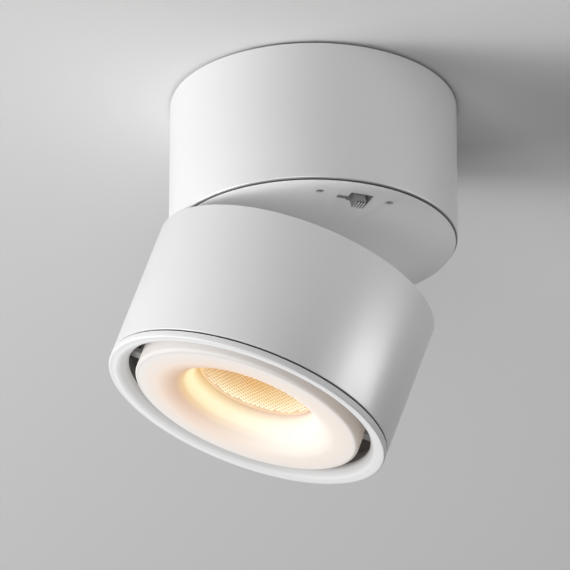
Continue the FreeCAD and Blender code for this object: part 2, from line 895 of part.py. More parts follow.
def swivel_plate():
    """The disc that closes the drum and turns in it."""
    body = new_body("swivel_plate")
    neck = plate_radius - s.plate_bevel
    revolve(body, [
        (spindle_bore, plate_bottom),
        (plate_radius, plate_bottom),
        (neck, plate_bottom + s.plate_bevel),
        (neck, plate_top),
        (spindle_bore, plate_top),
    ])
    rim = plate_radius + s.overrun
    cut_down(body, plate_top, rectangle(-rim, pivot_x, -rim, rim), s.plate_thick)
    edge = pivot_x - s.overrun
    cut_down(body, plate_top, rectangle(edge, notch_end, -ear_inner, ear_inner), s.plate_thick)
    window = switch_rectangle(window_low, window_high, -s.window_half_width, s.window_half_width)
    cut_down(body, plate_top, window, s.plate_thick)
    outer = s.index_slot_shift - s.index_slot_half_width
    inner = s.index_slot_shift + s.index_slot_half_width
    slot_end = window_low - s.index_slot_length
    lap = window_low + s.index_slot_half_width
    cut_down(body, plate_top, switch_rectangle(slot_end, lap, outer, inner), s.plate_thick)
    drill_down(body, plate_top, switch_screw_places(), s.tiny_shank + s.hole_play, s.plate_thick)
    recess_top = plate_bottom + s.switch_recess_depth
    recess_radius = s.tiny_head + s.hole_play
    drill_down(body, recess_top, switch_screw_places(), recess_radius, s.switch_recess_depth)
    drill_down(body, plate_top, hinge_screw_places(), s.main_shank, s.blind_depth)
    holes = around(foot_screw_circle, FIXINGS, foot_screw_angles)
    drill_down(body, plate_top, holes, s.small_shank, s.blind_depth)


def spindle():
    """The hollow spindle, with the arm that meets the stop pin."""
    body = new_body("spindle")
    foot_top = plate_top + s.foot_thick
    shoulder_top = chassis_bottom - s.bush_brim_thick - s.thrust_gap
    revolve(body, [
        (spindle_bore, plate_top),
        (foot_radius, plate_top),
        (foot_radius, foot_top),
        (shoulder_radius, foot_top),
        (shoulder_radius, shoulder_top),
        (s.spindle_radius, shoulder_top),
        (s.spindle_radius, nut_top + s.spindle_end),
        (spindle_bore, nut_top + s.spindle_end),
    ])
    arm_low = chassis_bottom - s.stop_pin_drop - s.running_fit
    wide = s.stop_arm_half_width
    root = -(shoulder_radius + spindle_bore) / 2
    tip = -(stop_circle + s.stop_arm_overhang)
    pad_up(body, arm_low, rectangle(tip, root, -wide, wide), s.stop_arm_height)
    holes = around(foot_screw_circle, FIXINGS, foot_screw_angles)
    drill_down(body, foot_top, holes, s.small_shank + s.hole_play, s.foot_thick)


def spindle_screws():
    """Screws that hold the spindle's foot on the plate."""
    shape = screw(s.small_shank, s.small_head, s.small_head_height, s.foot_thick + s.blind_depth)
    places = around(foot_screw_circle, FIXINGS, foot_screw_angles)
    group("spindle_screws", shape, places, plate_top + s.foot_thick, True)


def thrust_washer():
    """The steel washer that slides on the bush."""
    turned("thrust_washer", washer_corners(spindle_clear, brim_radius, washer_low, washer_high))


def disc_spring():
    """The dished spring that gives the swivel its grip."""
    outer = brim_radius - s.spring_inset
    turned("disc_spring", [
        (outer, washer_high),
        (outer, washer_high + s.spring_thick),
        (spindle_clear, spring_high),
        (spindle_clear, spring_high - s.spring_thick),
    ])


def spindle_nut():
    """The nut on the spindle's end."""
    shape = hexagon(nut_radius.value, spring_high.value, nut_top.value)
    shape = shape.cut(solid_ring(ZERO, spindle_clear, spring_high, nut_top))
    group("spindle_nut", shape, [(ZERO, ZERO)], ZERO)


# Hinge


def hinge_bracket():
    """The steel bracket on the plate, with an ear each side of the arm and a wing beside each ear."""
    body = new_body("hinge_bracket")
    wing_end = ear_outer + s.wing_width
    pad_up(body, plate_top, rectangle(wing_start, bracket_end, -wing_end, wing_end), s.bracket_sheet)
    notch = rectangle(wing_start, notch_end, -ear_inner, ear_inner)
    cut_down(body, plate_top + s.bracket_sheet, notch, s.bracket_sheet)
    pivot = (pivot_x, pivot_z)
    sketch = sketch_on(body, "XZ_Plane", -ear_outer)
    outline(sketch, [
        (pivot_x, plate_top),
        (bracket_end, plate_top),
        (bracket_end, plate_top + s.ear_end_height),
        (pivot_x, pivot_z + s.eye_radius, pivot),
        (pivot_x - s.eye_radius, pivot_z),
    ])
    ear = extrude(body, "Pad", sketch, s.ear_thick)
    mirror = body.newObject("PartDesign::Mirrored", "hinge_bracket_mirror")
    mirror.Originals = [ear]
    for feature in body.Origin.OriginFeatures:
        if feature.Role == "XZ_Plane":
            mirror.MirrorPlane = (feature, [""])
    body.Tip = mirror
    sketch = sketch_on(body, "XZ_Plane")
    circles(sketch, [pivot], s.pin_radius + s.running_fit)
    extrude(body, "Pocket", sketch, (ear_outer + s.overrun) * 2, True)
    hole = s.main_shank + s.hole_play
    drill_down(body, plate_top + s.bracket_sheet, hinge_screw_places(), hole, s.bracket_sheet)


def bracket_screws():
    """Screws that hold the hinge's bracket on the plate."""
    shape = screw(s.main_shank, s.main_head, s.main_head_height, s.bracket_sheet + s.blind_depth)
    group("bracket_screws", shape, hinge_screw_places(), plate_top + s.bracket_sheet, True)


def lay_along_y(shape):
    """Turns an upright solid so that its axis is the hinge's."""
    turned_shape = shape.copy()
    turned_shape.Placement = Placement(Vector(0, 0, 0), Rotation(Vector(1, 0, 0), -90))
    return turned_shape


def hinge_pin():
    """The hinge's pin, headed at one end."""
    end = ear_outer + s.pin_head_height
    pin = solid_ring(ZERO, s.pin_radius, -end, ear_outer)
    head = solid_ring(ZERO, s.pin_head_radius, ear_outer, end)
    shape = lay_along_y(pin.fuse(head))
    group("hinge_pin", shape, [(pivot_x, ZERO)], pivot_z)


def retaining_clip():
    """The push-on clip at the pin's other end."""
    end = ear_outer + s.pin_head_height
    bore = s.pin_radius + s.running_fit
    shape = lay_along_y(solid_ring(bore, s.pin_head_radius, -end, -ear_outer))
    group("retaining_clip", shape, [(pivot_x, ZERO)], pivot_z)


def friction_washers():
    """Washers that grip the arm between the ears."""
    bore = s.pin_radius + s.running_fit
    low = s.arm_half_width + s.running_fit
    high = low + s.friction_washer_thick
    one = lay_along_y(solid_ring(bore, s.eye_radius, low, high))
    other = lay_along_y(solid_ring(bore, s.eye_radius, -high, -low))
    group("friction_washers", Part.makeCompound([one, other]), [(pivot_x, ZERO)], pivot_z)


# Selector switch, drawn in the plate's frame


def switch_body():
    """The selector's case, screwed on behind the window."""
    body = new_body("switch_body")
    long_half = s.switch_flange_half_length
    wide_half = s.switch_flange_half_width
    flange = switch_rectangle(-long_half, long_half, -wide_half, wide_half)
    pad_up(body, plate_top, flange, s.switch_flange_thick)
    half = s.switch_box_half_length
    wide = s.switch_box_half_width
    flange_level = plate_top + s.switch_flange_thick
    middle = s.window_shift
    box = switch_rectangle(middle - half, middle + half, -wide, wide)
    pad_up(body, flange_level, box, s.switch_box_height)
    half = cavity_half_length
    wide = cavity_half_width
    cavity = switch_rectangle(middle - half, middle + half, -wide, wide)
    cut_down(body, plate_top + s.cavity_depth, cavity, s.cavity_depth)
    drill_down(body, flange_level, switch_screw_places(), s.tiny_shank, s.switch_flange_thick)


def switch_screws():
    """The two small screws sunk in the plate beside the window."""
    head_base = plate_bottom + s.switch_recess_depth
    length = s.plate_thick - s.switch_recess_depth + s.switch_flange_thick
    shape = screw(s.tiny_shank, s.tiny_head, s.tiny_head_height, length)
    group("switch_screws", shape, switch_screw_places(), head_base)


def switch_slider():
    """The slider, whose leaning ribbed knob comes out of the window."""
    body = new_body("switch_slider")
    low = plate_top + s.slider_gap
    base_low = s.window_shift - slider_half_length - travel_to_rest
    base_high = s.window_shift + slider_half_length - travel_to_rest
    pad_up(body, low, rectangle(base_low, base_high, -slider_half_width, slider_half_width), s.slider_thick)
    sketch = sketch_on(body, "XZ_Plane")
    left = knob_rest - s.knob_half_length
    right = knob_rest + s.knob_half_length
    outline(sketch, [
        (left, low),
        (left, plate_bottom),
        (left + s.knob_lean, knob_tip),
        (right + s.knob_lean, knob_tip),
        (right, plate_bottom),
        (right, low),
    ])
    extrude(body, "Pad", sketch, knob_half_width * 2, True)
    groove_half = s.rib_groove / 2
    end = knob_half_width + s.rib_groove
    count = int(s.knob_half_length.value / s.rib_pitch.value)
    for index in range(-count, count + 1):
        centre = knob_rest + s.knob_lean + s.rib_pitch * index
        groove = rectangle(centre - groove_half, centre + groove_half, -end, end)
        cut_down(body, knob_tip + s.rib_groove, groove, s.rib_groove)
    lay_on_switch(body)


def lay_on_switch(piece):
    """Turns and moves a piece that was drawn with the switch along X to its place in the plate."""
    place = on_switch(ZERO, ZERO)
    turn = Rotation(Vector(0, 0, 1), s.switch_angle.value + 90)
    piece.Placement = Placement(Vector(place[0].value, place[1].value, 0), turn)


# Lamp head, drawn upright in its own frame, hanging below z = 0


def arm_screw_places():
    """Where the arm's foot is screwed to the head."""
    place = arm_foot_end - s.arm_screw_inset
    return [(place, s.arm_screw_half_spacing * side) for side in (-1, 1)]


def head_shell():
    """The head's cup: its top and wall in one piece."""
    body = new_body("head_shell")
    revolve(body, [
        (ZERO, ZERO),
        (s.drum_radius, ZERO),
        (s.drum_radius, -s.head_length),
        (head_bore + s.head_lip_bevel, -s.head_length),
        (head_bore, -s.head_length + s.head_lip_bevel),
        (head_bore, -s.head_top_thick),
        (ZERO, -s.head_top_thick),
    ])
    sketch = sketch_on(body, "XZ_Plane")
    circles(sketch, [(pivot_x, pivot_up)], lip_reach + s.sweep_gap)
    extrude(body, "Pocket", sketch, s.relief_half_length * 2, True)
    play = s.hole_play
    foot_low = arm_inner - play
    foot_high = arm_foot_end + play
    foot_wide = s.arm_half_width + play
    cut_down(body, ZERO, rectangle(foot_low, foot_high, -foot_wide, foot_wide), s.arm_foot_thick)
    thread = s.head_top_thick - s.arm_foot_thick
    drill_down(body, -s.arm_foot_thick, arm_screw_places(), s.small_shank, thread)
    lead_hole = s.lead_hole_radius + s.lead_grommet_wall
    drill_down(body, ZERO, [(ZERO, ZERO)], lead_hole, s.head_top_thick)
    bosses = around(boss_circle, FIXINGS)
    drill_down(body, ZERO, bosses, s.main_head + play, s.main_head_height)
    under_head = s.head_top_thick - s.main_head_height
    drill_down(body, -s.main_head_height, bosses, s.main_shank + play, under_head)
    # The pocket that the selector's knob goes into when the head is closed
    low = window_low - s.knob_swing_gap
    high = window_high + s.knob_lean + s.knob_swing_gap
    wide = knob_half_width + s.knob_swing_gap
    depth = s.knob_reach - s.closed_gap + s.knob_tip_gap
    cut_down(body, ZERO, switch_rectangle(low, high, -wide, wide), depth)
    return body


def lead_grommet():
    """The sleeve in the head's top for the lamp's leads."""
    bore = s.lead_hole_radius
    neck = bore + s.lead_grommet_wall
    top = -s.running_fit * 2
    low = -(s.head_top_thick + s.lead_grommet_brim_thick)
    return turned("lead_grommet", [
        (bore, top),
        (neck, top),
        (neck, -s.head_top_thick),
        (lead_brim_radius, -s.head_top_thick),
        (lead_brim_radius, low),
        (bore, low),
    ])


def hinge_arm():
    """The cranked arm that reaches round the drum's lip from the hinge to the head."""
    body = new_body("hinge_arm")
    pivot = (pivot_x, pivot_up)
    thick = s.arm_half_thick
    eye = s.eye_radius
    sketch = sketch_on(body, "XZ_Plane")
    outline(sketch, [
        (pivot_x, pivot_up + eye, pivot),
        (pivot_x - eye, pivot_up, pivot),
        (pivot_x, pivot_up - eye),
        (pivot_x + eye, pivot_up - thick),
        (arm_inner, pivot_up - thick),
        (arm_inner, -s.arm_foot_thick),
        (arm_foot_end, -s.arm_foot_thick),
        (arm_foot_end, ZERO),
        (arm_outer, ZERO),
        (arm_outer, pivot_up + thick),
        (pivot_x + eye, pivot_up + thick),
    ])
    extrude(body, "Pad", sketch, s.arm_half_width * 2, True)
    sketch = sketch_on(body, "XZ_Plane")
    circles(sketch, [pivot], s.pin_radius + s.running_fit)
    extrude(body, "Pocket", sketch, s.arm_half_width * 2, True)
    drill_down(body, ZERO, arm_screw_places(), s.small_head + s.hole_play, s.small_head_height)
    left = s.arm_foot_thick - s.small_head_height
    drill_down(body, -s.small_head_height, arm_screw_places(), s.small_shank + s.hole_play, left)
    return body


def arm_screws():
    """Screws sunk in the arm's foot."""
    length = s.head_top_thick - s.small_head_height
    shape = screw(s.small_shank, s.small_head, s.small_head_height, length)
    return group("arm_screws", shape, arm_screw_places(), -s.small_head_height, True)


def heat_sink():
    """The finned block that cools the light source."""
    body = new_body("heat_sink")
    revolve(body, washer_corners(s.lead_hole_radius, sink_radius, sink_low, sink_base_top))
    wide = s.fin_thick / 2
    height = -s.head_top_thick - sink_base_top
    blade = rectangle(lead_brim_radius + s.fin_gap, sink_radius - wide, -wide, wide)
    fin = pad_up(body, sink_base_top, blade, height)
    fins = body.newObject("PartDesign::PolarPattern", "heat_sink_fins")
    fins.Originals = [fin]
    fins.Axis = (fin.Profile[0], ["N_Axis"])
    fins.Angle = 360
    fins.setExpression("Occurrences", s.fin_count.formula)
    body.Tip = fins
    sketch = sketch_on(body, "XY_Plane", sink_base_top)
    circles(sketch, around(boss_circle, FIXINGS), s.boss_radius)
    extrude(body, "Pad", sketch, height)
    drill_down(body, -s.head_top_thick, around(boss_circle, FIXINGS), s.main_shank, s.thread_depth)
    depth = s.blind_depth * 2
    drill_down(body, sink_low + depth, around(led_screw_circle, 2), s.small_shank, depth)
    return body


def sink_screws():
    """Screws sunk in the head's top that hold the heat sink."""
    length = s.head_top_thick - s.main_head_height + s.thread_depth
    shape = screw(s.main_shank, s.main_head, s.main_head_height, length)
    return group("sink_screws", shape, around(boss_circle, FIXINGS), -s.main_head_height, True)


def led_board():
    """The round board that carries the light source."""
    body = new_body("led_board")
    revolve(body, [
        (ZERO, board_low),
        (s.led_board_radius, board_low),
        (s.led_board_radius, sink_low),
        (ZERO, sink_low),
    ])
    holes = around(led_screw_circle, 2)
    drill_down(body, sink_low, holes, s.small_shank + s.hole_play, s.led_board_thick)
    return body


def led_emitter():
    """The light source itself."""
    low = board_low - s.emitter_thick
    return turned("led_emitter", [
        (ZERO, low),
        (s.emitter_radius, low),
        (s.emitter_radius, board_low),
        (ZERO, board_low),
    ])


def led_screws():
    """Screws that hold the board on the heat sink."""
    length = s.led_board_thick + s.blind_depth * 2
    shape = screw(s.small_shank, s.small_head, s.small_head_height, length)
    return group("led_screws", shape, around(led_screw_circle, 2), board_low)


def reflector_cup():
    """The cone between the light source and the lens."""
    mouth = lens_radius - s.cup_inset
    return turned("reflector_cup", [
        (s.cup_neck_radius, board_low),
        (s.cup_neck_radius + s.cup_wall, board_low),
        (mouth + s.cup_wall, lens_top),
        (mouth, lens_top),
    ])


def lens():
    """The patterned lens at the throat."""
    return turned("lens", [
        (ZERO, lens_top),
        (lens_radius, lens_top),
        (lens_radius, lens_top - s.lens_edge),
        (lens_radius - s.lens_bevel, lens_low),
        (ZERO, lens_low),
    ])


def inner_disc():
    """The white disc inside the ring: its wall, rounded rim, face and bell mouth."""
    rim_level = ring_face + s.rim_rounding
    rim_centre = (disc_radius - s.rim_rounding, rim_level)
    bell_centre = (mouth_radius, bell_level)
    wall_inside = disc_radius - s.disc_wall
    throat_outside = throat_radius + s.disc_wall
    throat_top = lens_top + s.throat_rise
    inside_face = ring_face + s.disc_wall
    return turned("inner_disc", [
        (disc_radius, sink_low),
        (disc_radius, rim_level, rim_centre),
        (disc_radius - s.rim_rounding, ring_face),
        (mouth_radius, ring_face, bell_centre),
        (throat_radius, bell_level),
        (throat_radius, throat_top),
        (throat_outside, throat_top),
        (throat_outside, bell_level, bell_centre),
        (mouth_radius, inside_face),
        (wall_inside, inside_face),
        (wall_inside, sink_low),
    ])


def trim_ring():
    """The ring that finishes the head's edge, with the skirt that holds it in."""
    top = -(s.head_length + s.shadow_line)
    ring_throat_radius = s.drum_radius - s.ring_width
    return turned("trim_ring", [
        (s.drum_radius, top),
        (s.drum_radius, ring_face + s.ring_bevel),
        (s.drum_radius - s.ring_bevel, ring_face),
        (s.drum_radius - s.ring_lip_width, ring_face),
        (ring_throat_radius, ring_throat),
        (ring_throat_radius, ring_throat + s.ring_ledge),
        (skirt_inside, ring_throat + s.ring_ledge),
        (skirt_inside, -s.head_length + s.skirt_length),
        (skirt_outside, -s.head_length + s.skirt_length),
        (skirt_outside, top),
    ])


def ring_clips():
    """Spring clips that bridge the gap between the disc's wall and the ring's skirt."""
    low = -s.head_length + s.clip_rise
    bridge_top = low + s.clip_thick
    bridge = solid_ring(disc_radius, skirt_inside, low, bridge_top)
    tail = solid_ring(disc_radius, disc_radius + s.clip_leaf, bridge_top, bridge_top + s.clip_tail)
    strip = Part.makeBox(
        head_bore.value,
        s.clip_half_width.value * 2,
        s.head_length.value,
        Vector(0, -s.clip_half_width.value, -s.head_length.value),
    )
    clip = bridge.fuse(tail).common(strip)
    copies = []
    for turn in (0, 180):
        copy = clip.copy()
        copy.rotate(Vector(0, 0, 0), Vector(0, 0, 1), turn + s.clip_angle.value)
        copies.append(copy)
    return group("ring_clips", Part.makeCompound(copies), [(ZERO, ZERO)], ZERO)


def fold_out(piece):
    """Turns a piece of the head about the hinge by the head's tilt."""
    tilt = math.radians(s.head_tilt.value)
    across = -pivot_x.value
    down = pivot_up.value
    top_x = pivot_x.value + across * math.cos(tilt) - down * math.sin(tilt)
    top_z = pivot_z.value - across * math.sin(tilt) - down * math.cos(tilt)
    piece.Placement = Placement(Vector(top_x, 0, top_z), Rotation(Vector(0, 1, 0), s.head_tilt.value))


def build_base():
    """Everything that stays with the ceiling."""
    mounting_bracket()
    cable_grommet()
    bayonet_studs()
    earth_screw()
    base_shell()
    chassis_posts()
    chassis_plate()
    chassis_screws()
    bearing_bush()
    stop_pin()
    driver_case()
    driver_lid()
    driver_board()
    driver_transformer()
    driver_capacitors()
    driver_screws()
    terminal_block()
    terminal_screws()


def build_swivel():
    """Everything that turns about Z with the plate."""
    swivel_plate()
    spindle()
    spindle_screws()
    thrust_washer()
    disc_spring()
    spindle_nut()
    hinge_bracket()
    bracket_screws()
    hinge_pin()
    retaining_clip()
    friction_washers()
    switch_body()
    switch_screws()
    switch_slider()


def build_head():
    """Everything that folds out with the lamp head."""
    makers = (
        head_shell, lead_grommet, hinge_arm, arm_screws, heat_sink, sink_screws, led_board, led_emitter,
        led_screws, reflector_cup, lens, inner_disc, trim_ring, ring_clips,
    )
    for make in makers:
        fold_out(make())


def check_document():
    """Stops on a failed object, an empty or invalid shape, or a cut that removed nothing."""
    for item in doc.Objects:
        if "Invalid" in item.State or "Error" in item.State:
            raise RuntimeError(f"{item.Label} failed: {item.State}")
        if item.TypeId == "PartDesign::Pocket":
            if item.BaseFeature.Shape.Volume - item.Shape.Volume < NOTHING:
                raise RuntimeError(f"{item.Label} cuts nothing")
    for node in nodes:
        if node.Shape.isNull() or not node.Shape.isValid():
            raise RuntimeError(f"{node.Label} has no valid shape")


build_base()
build_swivel()
build_head()
doc.recompute()
check_document()
os.makedirs("parts", exist_ok=True)
for node in nodes:
    node.Shape.exportStep(f"parts/{node.Label}.step")
    print(node.Label, len(node.Shape.Solids), round(node.Shape.Volume, 1))
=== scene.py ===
import json
import logging
import math
from contextlib import contextmanager
from dataclasses import dataclass
from enum import Enum
from typing import Callable, Iterator, Sequence

import bpy
import bmesh
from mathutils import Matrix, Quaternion, Vector

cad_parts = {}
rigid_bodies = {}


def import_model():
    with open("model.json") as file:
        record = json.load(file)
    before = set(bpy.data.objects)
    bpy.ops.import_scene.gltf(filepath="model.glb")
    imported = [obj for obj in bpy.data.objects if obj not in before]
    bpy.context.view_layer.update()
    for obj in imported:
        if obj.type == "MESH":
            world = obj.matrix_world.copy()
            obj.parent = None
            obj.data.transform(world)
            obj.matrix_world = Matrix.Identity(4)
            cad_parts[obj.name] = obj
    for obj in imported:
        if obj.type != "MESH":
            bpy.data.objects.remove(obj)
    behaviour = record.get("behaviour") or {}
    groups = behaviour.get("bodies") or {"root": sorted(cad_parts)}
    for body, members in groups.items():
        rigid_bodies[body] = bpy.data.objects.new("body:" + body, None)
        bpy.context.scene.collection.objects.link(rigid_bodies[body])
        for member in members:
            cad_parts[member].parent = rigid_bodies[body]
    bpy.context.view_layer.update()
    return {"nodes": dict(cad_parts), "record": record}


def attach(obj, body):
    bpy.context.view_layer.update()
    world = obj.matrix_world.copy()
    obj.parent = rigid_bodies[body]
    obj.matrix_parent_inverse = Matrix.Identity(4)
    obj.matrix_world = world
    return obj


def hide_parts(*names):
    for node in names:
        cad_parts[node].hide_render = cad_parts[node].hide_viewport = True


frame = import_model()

LOG = logging.getLogger("spotlight")

Ring = tuple[float, float]
Sides = tuple[float, float, float, float]
Colour = tuple[float, float, float]
Stops = tuple[tuple[float, Colour], ...]
Inputs = dict[str | int, object]
Piece = bpy.types.Object
Tree = bpy.types.NodeTree
Node = bpy.types.Node
Socket = bpy.types.NodeSocket
FaceTest = Callable[[Vector, Vector], bool]

# The fixture's sizes are in millimetres, and MM makes them metres

MM = 0.001
WELD = 0.002 * MM
CUT_PAST = 1.0
POLE_RADIUS = 0.02
POLE_REACH = 0.022 * MM

# Angles in a section, and how many strips its arcs have

OUTWARDS = 0.0
UPWARDS = 90.0
DOWNWARDS = -90.0
INWARDS = -180.0
RIM_STRIPS = 3
EDGE_STRIPS = 4
LIP_STRIPS = 6
ROUND_STRIPS = 8
BACK_STRIPS = 12
BELL_STRIPS = 28

# Sides of the round pieces and holes

ROUND_SIDES = 256
LENS_SIDES = 192
HOLE_SIDES = 48
SCREW_SIDES = 32
CELL_SIDES = 6

SMOOTH_ANGLE = math.radians(32)
BEVEL_ANGLE = math.radians(38)
SHADER = "Principled BSDF"

# The grains: a broad cloud of shade, and fine relief with more or less detail

BROAD_SCALE = 28.0
BROAD_DETAIL = 3.0
PEEL_DETAIL = 2.0
FINE_DETAIL = 5.0
BRUSH_STRETCH = (0.04, 1.0, 1.0)


class Body(Enum):
    """The bodies that move against each other."""

    BASE = "base"
    TURNTABLE = "turntable"
    SELECTOR = "selector"
    HEAD = "head"


class Grain(Enum):
    """The fine surface patterns that the finishes use."""

    PEEL = "paint_peel"
    BRUSHED = "brushed_lines"
    MOULDED = "moulded_skin"
    SPANGLE = "zinc_spangle"


# Modelling


def deselect() -> None:
    """Goes to object mode with nothing selected."""
    if bpy.context.mode != "OBJECT":
        bpy.ops.object.mode_set(mode="OBJECT")
    bpy.ops.object.select_all(action="DESELECT")


def only(piece: Piece) -> None:
    """Makes a piece the one that is selected and active.

    Args:
        piece: The piece.
    """
    deselect()
    piece.select_set(True)
    bpy.context.view_layer.objects.active = piece


def settle(piece: Piece) -> None:
    """Moves a piece's place, turn and scale into its mesh."""
    only(piece)
    bpy.ops.object.transform_apply(location=True, rotation=True, scale=True)


def take_new(name: str) -> Piece:
    """Names and settles the object that an operator has just added.

    Args:
        name: The piece's name.

    Returns:
        The piece.
    """
    piece = bpy.context.object
    piece.name = name
    piece.data.name = name
    settle(piece)
    return piece


@contextmanager
def editing(piece: Piece, elements: str = "EDGE") -> Iterator[None]:
    """Opens a piece in edit mode with all of it selected, and closes it at the end.

    Args:
        piece: The piece.
        elements: What is selected there, edges or faces.

    Yields:
        Nothing, while the piece is open.
    """
    only(piece)
    bpy.ops.object.mode_set(mode="EDIT")
    bpy.ops.mesh.select_mode(type=elements)
    bpy.ops.mesh.select_all(action="SELECT")
    yield
    bpy.ops.object.mode_set(mode="OBJECT")


def choose(piece: Piece, test: Callable[[Vector], bool]) -> None:
    """Selects those vertices of an open piece whose places pass a test.

    Args:
        piece: The piece in edit mode.
        test: Says whether a vertex at a place is taken.
    """
    mesh = bmesh.from_edit_mesh(piece.data)
    for vertex in mesh.verts:
        vertex.select = test(vertex.co)
    mesh.select_flush(True)
    mesh.select_flush(False)
    bmesh.update_edit_mesh(piece.data)


def draw_ring(rise: float, grow: float, height: float) -> None:
    """Extrudes the selected ring by a rise in metres to a height, and makes it grow times as wide."""
    bpy.ops.mesh.extrude_region_move(TRANSFORM_OT_translate={"value": (0, 0, rise)})
    bpy.ops.transform.resize(value=(grow, grow, 1), center_override=(0, 0, height))


def put(piece: Piece, place: Sequence[float], turn: Sequence[float] = (0, 0, 0)) -> None:
    """Turns a piece about the origin, moves it and settles it.

    Args:
        piece: The piece.
        place: Where the origin goes.
        turn: The turn about each axis, in degrees.
    """
    piece.location = [value * MM for value in place]
    piece.rotation_euler = [math.radians(value) for value in turn]
    settle(piece)


def modify(piece: Piece, kind: str, **settings: object) -> None:
    """Adds a modifier to a piece and applies it.

    Args:
        piece: The piece.
        kind: The modifier's type.
        settings: The modifier's own properties.
    """
    only(piece)
    modifier = piece.modifiers.new(kind, kind)
    for name, value in settings.items():
        setattr(modifier, name, value)
    bpy.ops.object.modifier_apply(modifier=modifier.name)


def face_outwards(piece: Piece) -> None:
    """Merges a piece's doubles and turns its faces outwards.

    Args:
        piece: The piece.
    """
    with editing(piece):
        bpy.ops.mesh.remove_doubles(threshold=WELD)
        bpy.ops.mesh.normals_make_consistent(inside=False)


def turned(name: str, rings: Sequence[Ring], sides: int = ROUND_SIDES) -> Piece:
    """Extrudes a circle from ring to ring into a round piece.

    Args:
        name: The piece's name.
        rings: Radius and height of each ring. The last is the first again, or both are near the axis.
        sides: How many sides the circle has.

    Returns:
        The piece, upright on the Z axis.
    """
    deselect()
    radius, height = rings[0]
    bpy.ops.mesh.primitive_circle_add(vertices=sides, radius=radius * MM, location=(0, 0, height * MM))
    piece = take_new(name)
    with editing(piece):
        for (radius, height), (next_radius, next_height) in zip(rings, rings[1:]):
            draw_ring((next_height - height) * MM, next_radius / radius, next_height * MM)
    face_outwards(piece)
    return piece


def capped(name: str, rings: Sequence[Ring], sides: int) -> Piece:
    """Makes a solid round piece whose two flat ends close on the axis.

    Args:
        name: The piece's name.
        rings: Radius and height of each ring of the side.
        sides: How many sides the circle has.

    Returns:
        The piece, upright on the Z axis.
    """
    ends = (rings[0][1], rings[-1][1])
    piece = turned(name, [(POLE_RADIUS, ends[0]), *rings, (POLE_RADIUS, ends[1])], sides)
    with editing(piece):
        for end in ends:
            level = end * MM
            choose(piece, lambda place: place.xy.length < POLE_REACH and abs(place.z - level) < WELD)
            bpy.ops.mesh.merge(type="CENTER")
    face_outwards(piece)
    return piece


def arc(centre: Ring, radius: float, start: float, end: float, strips: int) -> list[Ring]:
    """Returns the rings along an arc of a section.

    Args:
        centre: The arc's centre as radius and height.
        radius: The arc's radius.
        start: The first angle in degrees, 0 outwards and 90 up.
        end: The last angle.
        strips: How many strips the arc has.

    Returns:
        The rings, both ends included.
    """
    angles = [math.radians(start + (end - start) * step / strips) for step in range(strips + 1)]
    return [(centre[0] + radius * math.cos(a), centre[1] + radius * math.sin(a)) for a in angles]


def bar(sides: Sides, low: float, high: float, name: str = "cutter") -> Piece:
    """Adds an upright block.

    Args:
        sides: Its ends along X, and then along Y.
        low: Its lower face.
        high: Its upper face.
        name: The piece's name.

    Returns:
        The block.
    """
    deselect()
    left, right, near, far = sides
    middle = ((left + right) / 2 * MM, (near + far) / 2 * MM, (low + high) / 2 * MM)
    size = ((right - left) * MM, (far - near) * MM, (high - low) * MM)
    bpy.ops.mesh.primitive_cube_add(size=1, location=middle, scale=size)
    return take_new(name)


def rod(place: Sequence[float], low: float, high: float, radius: float, sides: int = HOLE_SIDES) -> Piece:
    """Adds an upright rod that cuts a hole.

    Args:
        place: The hole's place along X and Y.
        low: The rod's lower end.
        high: Its upper end.
        radius: Its radius.
        sides: How many sides it has.

    Returns:
        The rod.
    """
    deselect()
    middle = [value * MM for value in (*place, (low + high) / 2)]
    bpy.ops.mesh.primitive_cylinder_add(
        vertices=sides, radius=radius * MM, depth=(high - low) * MM, location=middle
    )
    return take_new("cutter")


def cut(piece: Piece, cutters: Sequence[Piece]) -> None:
    """Takes the cutters' shapes out of a piece and removes the cutters.

    Args:
        piece: The piece.
        cutters: What is taken out of it.
    """
    for cutter in cutters:
        modify(piece, "BOOLEAN", operation="DIFFERENCE", solver="EXACT", object=cutter)
        bpy.data.objects.remove(cutter, do_unlink=True)


def around(radius: float, degrees: float) -> tuple[float, float]:
    """Returns the place at an angle on a circle about the Z axis."""
    angle = math.radians(degrees)
    return radius * math.cos(angle), radius * math.sin(angle)


# Finishes


def feed(tree: Tree, node: Node, inputs: Inputs) -> None:
    """Gives a node's inputs their values and links.

    Args:
        tree: The node's tree.
        node: The node.
        inputs: A value, or a socket to link, for each input by its name or number.
    """
    for name, value in inputs.items():
        if isinstance(value, Socket):
            tree.links.new(value, node.inputs[name])
        else:
            node.inputs[name].default_value = value


def add_node(tree: Tree, kind: str, inputs: Inputs, **settings: object) -> Node:
    """Adds a shader node.

    Args:
        tree: The tree that it goes into.
        kind: What the node does, as the end of its type's name.
        inputs: A value, or a socket to link, for each input by its name or number.
        settings: The node's own properties.

    Returns:
        The node.
    """
    node = tree.nodes.new(f"ShaderNode{kind}")
    for name, value in settings.items():
        setattr(node, name, value)
    feed(tree, node, inputs)
    return node


